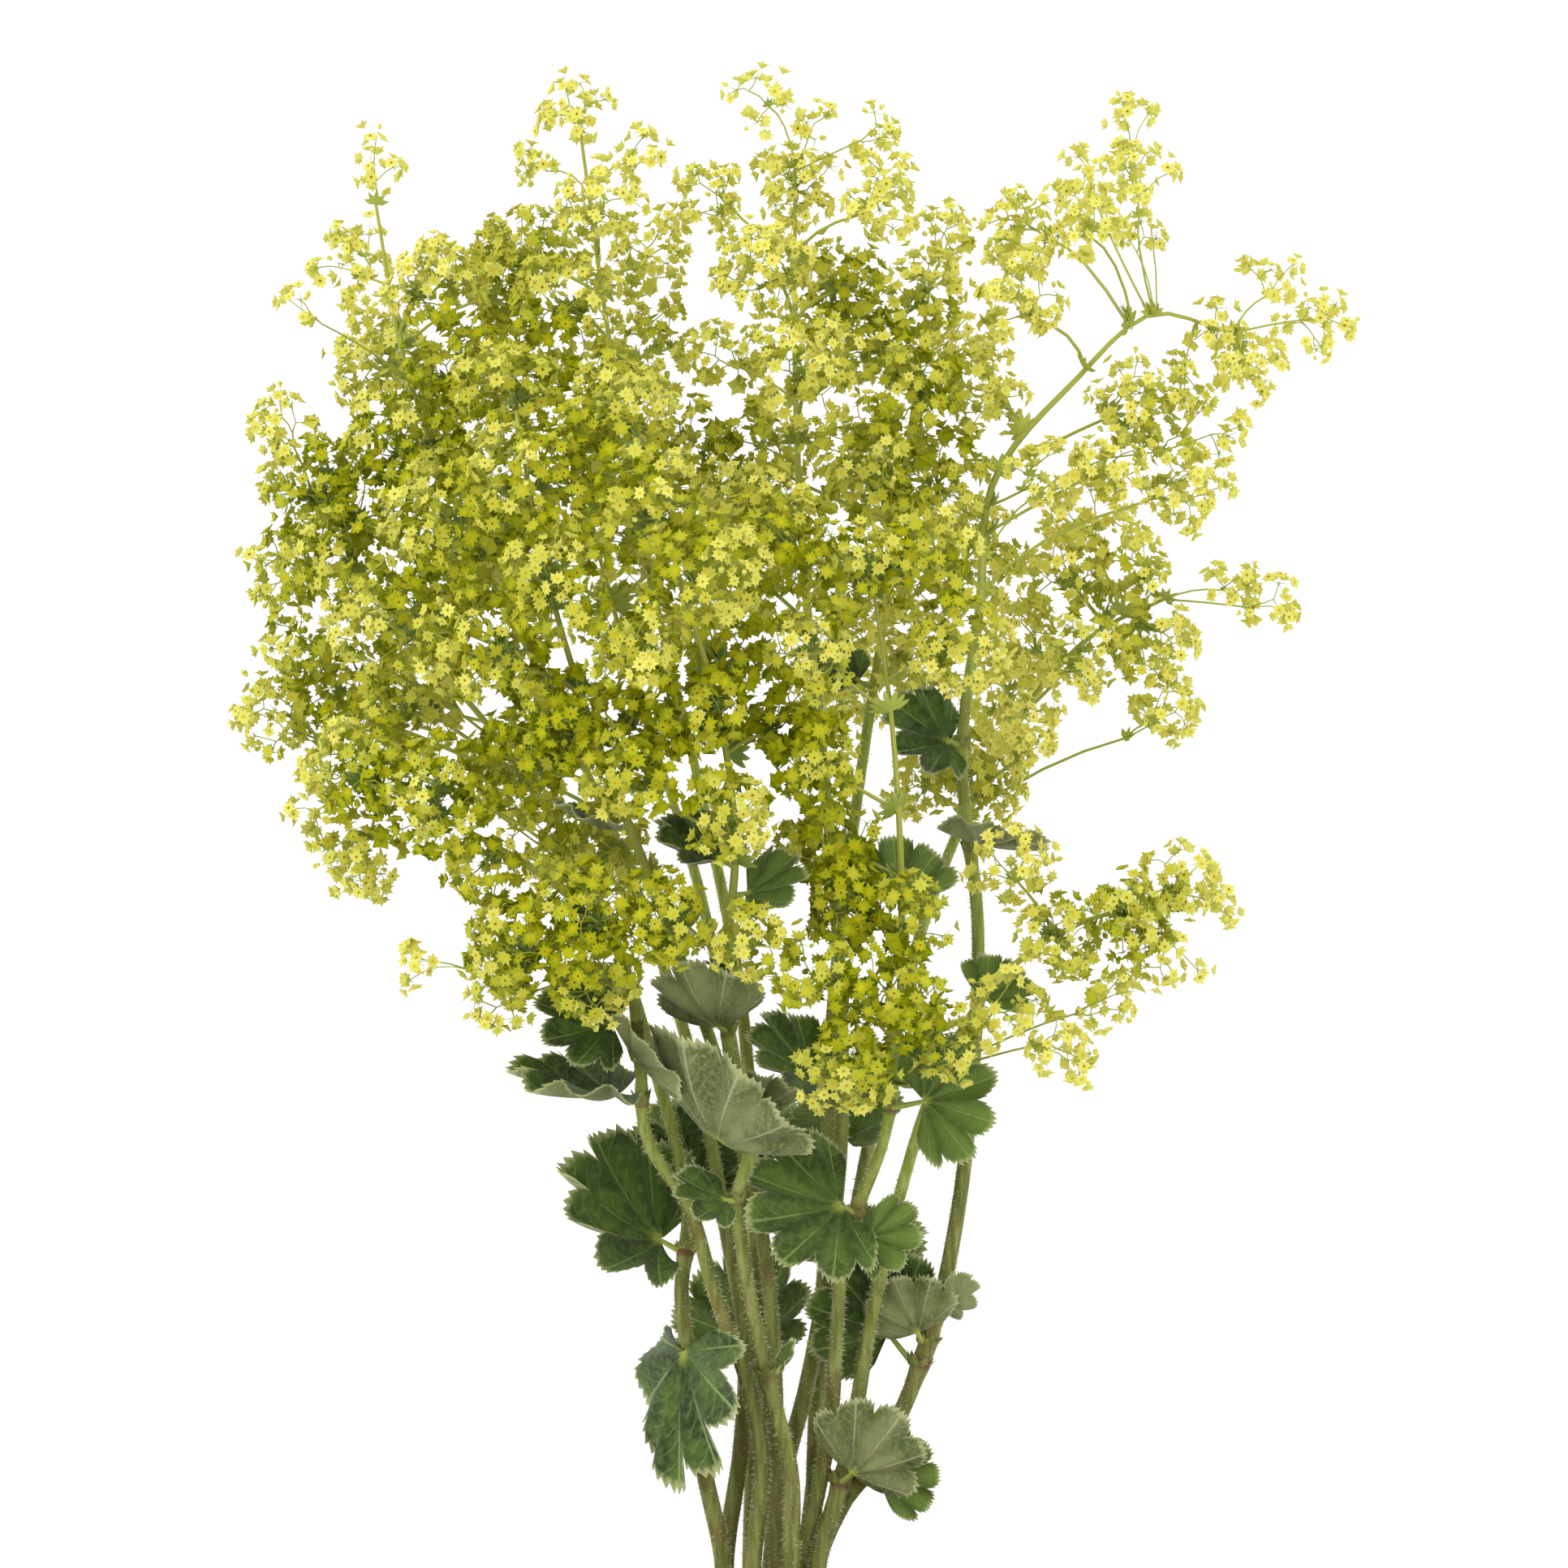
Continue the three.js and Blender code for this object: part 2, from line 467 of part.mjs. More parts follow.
// A thin closed solid on a fan of rows of points, with both faces split alike. The first row is the two ends
// of the blade's base, where the stalk goes on through its rings of four points.
function leafSheet(rows, face, stalk) {
  const flat = rows.flat();
  const starts = rows.map((_, i) => rows.slice(0, i).reduce((n, row) => n + row.length, 0));
  const triangles = [];
  for (let r = 0; r + 1 < rows.length; r++) {
    const inner = rows[r].length - 1;
    const outer = rows[r + 1].length - 1;
    let i = 0;
    let j = 0;
    while (i < inner || j < outer) {
      const a = starts[r] + i;
      const b = starts[r + 1] + j;
      const turnOuter = j < outer && (i === inner || (j + 0.5) / outer <= (i + 0.5) / inner);
      triangles.push(turnOuter ? [a, b, b + 1] : [a, b, a + 1]);
      if (turnOuter) j += 1;
      else i += 1;
    }
  }
  const count = flat.length;
  const lift = face.clone().multiplyScalar(BLADE_THICKNESS / 2);
  const points = [...flat.map((p) => p.clone().add(lift)), ...flat.map((p) => p.clone().sub(lift))];
  const last = rows.length - 1;
  const out = rows.slice(0, last).map((_, r) => starts[r]);
  const round = rows[last].map((_, j) => starts[last] + j);
  const back = rows.slice(0, last).map((row, r) => starts[r] + row.length - 1).reverse();
  const rim = [...out, ...round, ...back];
  const all = [...triangles, ...triangles.map(([a, b, c]) => [a + count, c + count, b + count])];
  for (let k = 0; k + 1 < rim.length; k++) {
    const [a, b] = [rim[k], rim[k + 1]];
    all.push([a, a + count, b + count], [a, b + count, b]);
  }
  let ring = [1, 1 + count, count, 0];
  for (const corners of stalk) {
    const next = corners.map((_, k) => points.length + k);
    points.push(...corners);
    for (let k = 0; k < 4; k++) {
      const m = (k + 1) % 4;
      all.push([ring[k], ring[m], next[m]], [ring[k], next[m], next[k]]);
    }
    ring = next;
  }
  all.push([ring[0], ring[1], ring[2]], [ring[0], ring[2], ring[3]]);
  return solidFrom(points, all);
}

// The four corners of a stalk's section, in the order of the blade's base.
function stalkCorners(centre, along, across) {
  const flatAcross = across.clone().addScaledVector(along, -across.dot(along)).normalize();
  const up = new THREE.Vector3().crossVectors(along, flatAcross);
  return [[1, 1], [1, -1], [-1, -1], [-1, 1]].map(([a, b]) => centre.clone()
    .addScaledVector(flatAcross, a * STALK_HALF_WIDTH)
    .addScaledVector(up, b * STALK_HALF_WIDTH));
}

// A leaf: its blade and its stalk in one piece, which meets the stem at its side.
function leafSolid(leaf, rings) {
  const { along, across, face } = leafAxes(leaf.aim);
  const { centre, radius, up } = ringAt(rings, leaf.at);
  const from = THREE.MathUtils.degToRad(leaf.from);
  const radial = new THREE.Vector3(Math.cos(from), Math.sin(from), 0);
  radial.addScaledVector(up, -radial.dot(up)).normalize();
  const outward = radial.clone().addScaledVector(up, STALK_RISE).normalize();
  const root = centre.addScaledVector(radial, radius + SEAT_GAP);
  const base = root.clone().addScaledVector(outward, leaf.stalk).addScaledVector(along, STALK_HALF_WIDTH);
  const spread = THREE.MathUtils.degToRad(BLADE_SPREAD[leaf.lobes]);
  const edge = bladeEdge(leaf.lobes, spread);
  const place = ({ angle, reach, fold }, part) => {
    const length = part * reach * leaf.size;
    return base.clone()
      .addScaledVector(along, length * Math.cos(angle))
      .addScaledVector(across, length * Math.sin(angle))
      .addScaledVector(face, leaf.cup * length * part + PLEAT * fold * length);
  };
  const rows = [[-1, 1].map((side) => base.clone().addScaledVector(across, side * STALK_HALF_WIDTH))];
  const notches = edge.filter((_, k) => k % 3 === 0);
  if (leaf.size >= LARGE_LEAF) rows.push(notches.map((point) => place(point, BLADE_RING)));
  rows.push(edge.map((point) => place(point, 1)));
  const bend = root.clone().addScaledVector(outward, leaf.stalk - STALK_HALF_WIDTH / 2);
  const bendAlong = outward.clone().add(along).normalize();
  return leafSheet(rows, face, [stalkCorners(bend, bendAlong, across), stalkCorners(root, radial, across)]);
}

// Whether a solid crosses any of the others, or all but touches it.
function crosses(solid, others) {
  const box = solid.boundingBox();
  return others.some((other) => {
    const b = other.boundingBox();
    const above = [0, 1, 2].some((i) => box.min[i] > b.max[i] + CLEARANCE);
    const below = [0, 1, 2].some((i) => b.min[i] > box.max[i] + CLEARANCE);
    return !above && !below && solid.minGap(other, CLEARANCE) < CLEARANCE / 2;
  });
}

// A leaf turned from its given pose, as little as it takes to clear what stands near it.
function leafClearOf(leaf, rings, others) {
  const [heading, pitch, roll] = leaf.aim;
  for (const amount of TURNS) {
    for (let k = 0; k < (amount ? 8 : 1); k++) {
      for (const twist of amount ? [0, -amount, amount] : [0]) {
        const turned = heading + amount * Math.cos((k * Math.PI) / 4);
        const raised = pitch + amount * Math.sin((k * Math.PI) / 4);
        const solid = leafSolid({ ...leaf, aim: [turned, raised, roll + twist] }, rings);
        if (!crosses(solid, others)) return solid;
      }
    }
  }
  return leafSolid(leaf, rings);
}

// The sprays: an axis that goes on from the stem, with a branch to each plume of florets

// The point of a spray's axis that the branch to a plume leaves from: near the plume, and below it.
function branchRoot(axis, centre) {
  let root = null;
  let least = Infinity;
  for (let i = 0; i + 1 < axis.length; i++) {
    for (let t = 0.1; t < 1; t += 0.1) {
      const p = axis[i].centre.clone().lerp(axis[i + 1].centre, t);
      const level = Math.hypot(p.x - centre.x, p.y - centre.y);
      const tooHigh = Math.max(0, p.z + BRANCH_RISE * level - centre.z);
      const cost = p.distanceTo(centre) + BRANCH_FALL_COST * tooHigh;
      if (cost < least) {
        least = cost;
        root = p;
      }
    }
  }
  return root;
}

// The core of a plume, as points and triangles.
function plumeCore(centre, radius, random) {
  const Shape = radius > SMALL_PLUME ? THREE.IcosahedronGeometry : THREE.OctahedronGeometry;
  const lump = new Shape(radius * CORE_SHARE, 0);
  lump.rotateX(random() * Math.PI);
  lump.rotateZ(random() * Math.PI);
  lump.translate(centre.x, centre.y, centre.z);
  return pointsAndTriangles(lump);
}

// One floret on a face of a core: the face's three points flare out to a star of four sepals. Points 0 to 2
// are the face's, and the star's follow.
function floret(face, centre, radius, size) {
  const out = meanOf(face).sub(centre).normalize();
  const side = face[0].clone().sub(centre);
  side.addScaledVector(out, -side.dot(out)).normalize();
  const other = new THREE.Vector3().crossVectors(out, side);
  const points = Array.from({ length: 8 }, (_, k) => {
    const tip = k % 2 === 0;
    const angle = (k * Math.PI) / 4;
    const reach = size * (tip ? 1 : FLORET_NOTCH);
    return centre.clone()
      .addScaledVector(out, radius - (tip ? 0 : FLORET_DEPTH))
      .addScaledVector(side, reach * Math.cos(angle))
      .addScaledVector(other, reach * Math.sin(angle));
  });
  const nearest = [0, 0, 1, 1, 1, 2, 2, 2, 0];
  const triangles = [[4, 6, 8], [4, 8, 10], [10, 3, 4], [4, 5, 6], [6, 7, 8], [8, 9, 10]];
  for (let k = 0; k < 8; k++) {
    const next = 3 + ((k + 1) % 8);
    triangles.push([3 + k, nearest[k], next]);
    if (nearest[k] !== nearest[k + 1]) triangles.push([next, nearest[k], nearest[k + 1]]);
  }
  return { points, triangles };
}

// The branch on the face of a core that looks towards its root: a thin three-sided stalk that sags.
function branch(face, centre, root, coreRadius) {
  const inward = root.clone().sub(centre);
  const reach = inward.length();
  inward.normalize();
  const start = Math.min(BRANCH_CORE_REACH * coreRadius, BRANCH_SHORT_REACH * reach);
  const stops = [centre.clone().addScaledVector(inward, start), root];
  if (reach > LONG_BRANCH) {
    const middle = root.clone().lerp(centre, BRANCH_MIDDLE);
    middle.z -= BRANCH_SAG * reach;
    stops.splice(1, 0, middle);
  }
  const side = face[0].clone().sub(centre);
  const points = [];
  for (const [i, stop] of stops.entries()) {
    const before = i ? stops[i - 1] : centre;
    const along = (stops[i + 1] ?? root).clone().sub(before).normalize();
    side.addScaledVector(along, -side.dot(along)).normalize();
    const other = new THREE.Vector3().crossVectors(along, side);
    const thickness = stop === root ? TWIG_ROOT_RADIUS : TWIG_RADIUS;
    for (let k = 0; k < 3; k++) {
      const angle = (2 * Math.PI * k) / 3;
      points.push(stop.clone()
        .addScaledVector(side, thickness * Math.cos(angle))
        .addScaledVector(other, thickness * Math.sin(angle)));
    }
  }
  const triangles = [];
  for (let row = 0; row < points.length; row += 3) {
    for (let k = 0; k < 3; k++) {
      const a = row + k;
      const b = row + ((k + 1) % 3);
      triangles.push([a, b, b + 3], [a, b + 3, a + 3]);
    }
  }
  const last = points.length;
  triangles.push([last, last + 1, last + 2]);
  return { points, triangles };
}

// A plume: a core, the branch to it, and florets on faces that leave room and where they cross nothing.
function plume({ centre, radius, root, wanted, random, others }) {
  const coreRadius = radius * CORE_SHARE;
  const { points, triangles } = plumeCore(centre, radius, random);
  const size = Math.min(FLORET_RADIUS, FLORET_SPREAD * radius);
  const faceOf = (triangle) => triangle.map((i) => points[i]);
  const directions = triangles.map((t) => meanOf(faceOf(t)).sub(centre).normalize());
  const inward = root.clone().sub(centre).normalize();
  const grown = new Map();
  const near = root.distanceTo(centre) < NEAR_AXIS * coreRadius;
  if (!near) {
    const angles = directions.map((d) => d.angleTo(inward));
    const nearest = angles.indexOf(Math.min(...angles));
    grown.set(nearest, branch(faceOf(triangles[nearest]), centre, root, coreRadius));
  }
  const taken = [inward];
  const closed = new Set();
  const florets = [];
  while (florets.length < wanted) {
    const room = directions.map((d, i) => (closed.has(i) ? -1 : Math.min(...taken.map((t) => d.angleTo(t)))));
    const best = room.indexOf(Math.max(...room));
    if (room[best] < FLORET_APART) break;
    closed.add(best);
    const face = faceOf(triangles[best]);
    const made = floret(face, centre, radius, size);
    const alone = solidFrom([...face, ...made.points], [...made.triangles, [0, 2, 1]]);
    if (!crosses(alone, others)) {
      grown.set(best, made);
      taken.push(directions[best]);
      florets.push(alone);
    }
  }
  const faces = [];
  triangles.forEach((triangle, i) => {
    const made = grown.get(i);
    if (!made) {
      faces.push(triangle);
      return;
    }
    const start = points.length;
    points.push(...made.points);
    faces.push(...made.triangles.map((t) => t.map((k) => (k < 3 ? triangle[k] : start + k - 3))));
  });
  const solid = solidFrom(points, faces);
  if (!near) return { solid, florets };
  const twig = [centre, root].map((p) => ({ centre: p, along: inward, radius: TWIG_ROOT_RADIUS }));
  return { solid: solid.add(tube(twig, 3)), florets };
}

// The skeleton of a spray: its axis, and its plumes with no floret yet.
function sprayFrame({ plumes }, axis, seed) {
  const places = plumes.map(([x, y, z, radius], i) => {
    const centre = new THREE.Vector3(x, y, z);
    return { centre, radius, root: branchRoot(axis, centre), seed: seed + i };
  });
  const unflowered = (place) => plume({ ...place, wanted: 0, random: seeded(place.seed), others: [] });
  const bare = places.map((place) => unflowered(place).solid);
  const stalk = tube(axis, STEM_SIDES);
  return { places, bare, stalk, whole: wasm.Manifold.union([stalk, ...bare]) };
}

function spray({ places, bare, stalk }, neighbours) {
  const made = [];
  const florets = [];
  places.forEach((place, i) => {
    const wanted = Math.max(2, Math.round((place.radius * place.radius) / FLORET_AREA));
    const others = [...neighbours, stalk, ...bare.filter((_, k) => k !== i), ...florets];
    const one = plume({ ...place, wanted, random: seeded(place.seed), others });
    made.push(one.solid);
    florets.push(...one.florets);
  });
  return wasm.Manifold.union([stalk, ...made]);
}

// The whole plant

const clay = new THREE.MeshStandardMaterial({ color: 0xb5694a, roughness: 0.9, metalness: 0 });
const earth = new THREE.MeshStandardMaterial({ color: 0x3a2b20, roughness: 1, metalness: 0 });
const stemGreen = new THREE.MeshStandardMaterial({ color: 0x86964a, roughness: 0.7, metalness: 0 });
const leafGreen = new THREE.MeshStandardMaterial({ color: 0x4a6a38, roughness: 0.8, metalness: 0 });
const flowerYellow = new THREE.MeshStandardMaterial({ color: 0xc8c83c, roughness: 0.7, metalness: 0 });

const plant = new THREE.Group();
const numbered = (name, i) => `${name}_${String(i + 1).padStart(2, '0')}`;

const curves = STEMS.map((s) => curveThrough(s.path.map(vector)));
const junctions = STEMS.map((s, i) => shareAtHeight(curves[i], s.junction));
const chains = curves.map((curve, i) => ({
  stem: stemRings(curve, junctions[i]),
  axis: axisRings(curve, junctions[i]),
}));
const stems = chains.map((chain) => tube(chain.stem, STEM_SIDES));

const seeds = STEMS.map((_, i) => SEED + 100 * (i + 1));
const frames = STEMS.map((s, i) => sprayFrame(s, chains[i].axis, seeds[i]));
const leaves = [];
for (const leaf of LEAVES) {
  const others = [...stems, ...frames.map((f) => f.whole), ...leaves];
  const chain = chains[leaf.stem - 1];
  leaves.push(leafClearOf(leaf, [...chain.stem, ...chain.axis], others));
}
const sprays = [];
frames.forEach((frame, i) => {
  const others = [...stems, ...leaves, ...sprays, ...frames.slice(i + 1).map((f) => f.whole)];
  sprays.push(spray(frame, others));
});

plant.add(meshOf('pot', pot(), clay));
plant.add(meshOf('soil', soil(curves), earth));
stems.forEach((solid, i) => plant.add(meshOf(numbered('stem', i), solid, stemGreen)));
leaves.forEach((solid, i) => plant.add(meshOf(numbered('leaf', i), solid, leafGreen)));
sprays.forEach((solid, i) => plant.add(meshOf(numbered('spray', i), solid, flowerYellow)));

export default plant;
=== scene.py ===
"""A potted lady's mantle in flower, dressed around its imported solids.

Every spray, stem and leaf of the frame is replaced by finer pieces in the same place: thousands of star
florets on forked twigs, hairy stems and veined, saw-toothed leaves. So are the pot and the soil. Shapes are
worked out in millimetres, in the part's own frame, and scaled to metres where a piece is made.
"""
import collections
import math

import bpy
import numpy as np
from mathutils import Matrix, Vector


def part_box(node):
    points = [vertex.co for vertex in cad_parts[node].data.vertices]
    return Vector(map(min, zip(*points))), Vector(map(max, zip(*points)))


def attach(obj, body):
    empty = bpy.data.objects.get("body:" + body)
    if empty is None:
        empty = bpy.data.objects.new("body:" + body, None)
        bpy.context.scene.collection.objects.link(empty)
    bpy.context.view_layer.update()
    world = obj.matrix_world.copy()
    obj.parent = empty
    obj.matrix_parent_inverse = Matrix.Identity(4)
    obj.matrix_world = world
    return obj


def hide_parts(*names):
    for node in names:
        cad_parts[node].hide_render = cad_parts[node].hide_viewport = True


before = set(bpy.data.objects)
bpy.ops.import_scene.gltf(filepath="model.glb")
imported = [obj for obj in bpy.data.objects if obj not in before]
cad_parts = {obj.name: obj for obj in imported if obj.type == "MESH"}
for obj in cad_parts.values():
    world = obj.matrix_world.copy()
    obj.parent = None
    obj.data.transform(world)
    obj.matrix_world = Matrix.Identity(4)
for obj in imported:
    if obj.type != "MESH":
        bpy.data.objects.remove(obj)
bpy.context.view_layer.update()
MM = 0.001

# The photograph's view, in millimetres: level, along +Y, with this width of the plant's middle plane across
# the frame. It ends VIEW_END metres out.
VIEW_WIDTH = 425.0
VIEW_DISTANCE = 2400.0
VIEW_HEIGHT = 377.5
SENSOR_WIDTH = 36.0
VIEW_END = 100

# The light and the floor, in metres and degrees: a white surround, a soft round lamp and a wide floor
SURROUND = 1.13
LAMP_SIZE = 1.4
LAMP_ENERGY = 16
LAMP_PLACE = (-1.3, -1.9, 2.0)
LAMP_TILT = 54
LAMP_TURN = -34
FLOOR_REACH = 60.0

# Driving sizes, in millimetres, and counts that the solids have too. The first drainage hole stands
# DRAIN_HOLE_START of a step round from +X.
POT_HEIGHT = 150
POT_RIM_RADIUS = 84
POT_FOOT_RADIUS = 58
POT_WALL = 6
POT_FLOOR = 9
POT_BAND_HEIGHT = 28
POT_BAND_STEP = 6
DRAIN_HOLE_RADIUS = 6
DRAIN_HOLE_CIRCLE = 32
DRAIN_HOLE_COUNT = 3
DRAIN_HOLE_START = 0.25
SOIL_LEVEL = 136
SOIL_CROWN = 2.2
COLLAR_HEIGHT = 146
STEM_FOOT_RADIUS = 2.5
STEM_TOP_RADIUS = 1.4
AXIS_END_RADIUS = 0.9
STEM_STEP = 34
CLEARANCE = 0.3
BLADE_THICKNESS = 0.9
STALK_HALF_WIDTH = 0.9
SEAT_GAP = 0.45

# Shares of another size, and angles in degrees, that the solids have too. A blade is raised by PLEAT between
# two lobes, and by FOLD_FLOOR of that on a lobe. A stalk rises by STALK_RISE along its stem. A leaf gets
# clear of its neighbours by one of TURNS, in one of TURN_WAYS directions.
PLEAT = 0.09
FOLD_FLOOR = -0.6
STALK_RISE = 0.6
BLADE_SPREAD = {5: 185, 7: 228}
BLADE_NOTCH = 0.8
BLADE_BASE = 0.55
BLADE_SHOULDER = 0.24
BLADE_NARROWING = 0.2
BRANCH_RISE = 0.5
BRANCH_FALL_COST = 2
TURNS = [0, 6, 12, 20, 30, 42, 56]
TURN_WAYS = 8

# Sizes of what only the looks have, in millimetres, and numbers of hairs
FLORET_RADIUS = 2.55
PEDICEL_LENGTH = 3.2
PEDICEL_RADIUS = 0.16
TWIG_RADIUS = 0.2
AXIS_TIP_RADIUS = 0.45
FINE_BLADE = 0.34
STEM_HAIR = 1.35
LEAF_HAIR = 0.95
HAIR_RADIUS = 0.085
STEM_HAIRS_PER_MM = 7
LEAF_HAIRS = 150

# Each piece draws its chances from a seed of its own. A random spin is at most just over a full turn.
SEED = 20417
STEM_SEED = SEED + 7000
LEAF_SEED = SEED + 9000
SOIL_SEED = SEED + 31
FULL_TURN = 2 * math.pi
ANY_SPIN = 6.3

# How finely curves are measured, the half step that gives a curve's direction, how upright a normal has to be
# for another helping axis, what keeps two directions apart, and what counts as nothing. Where a mesh bends by
# more than SHARPNESS degrees, its edge is sharp.
CURVE_SAMPLES = 201
HEIGHT_SAMPLES = 400
SHORT_STEP = 1e-4
UPRIGHT = 0.9
NUDGE = 1e-3
TINY = 1e-9
SHARPNESS = 50

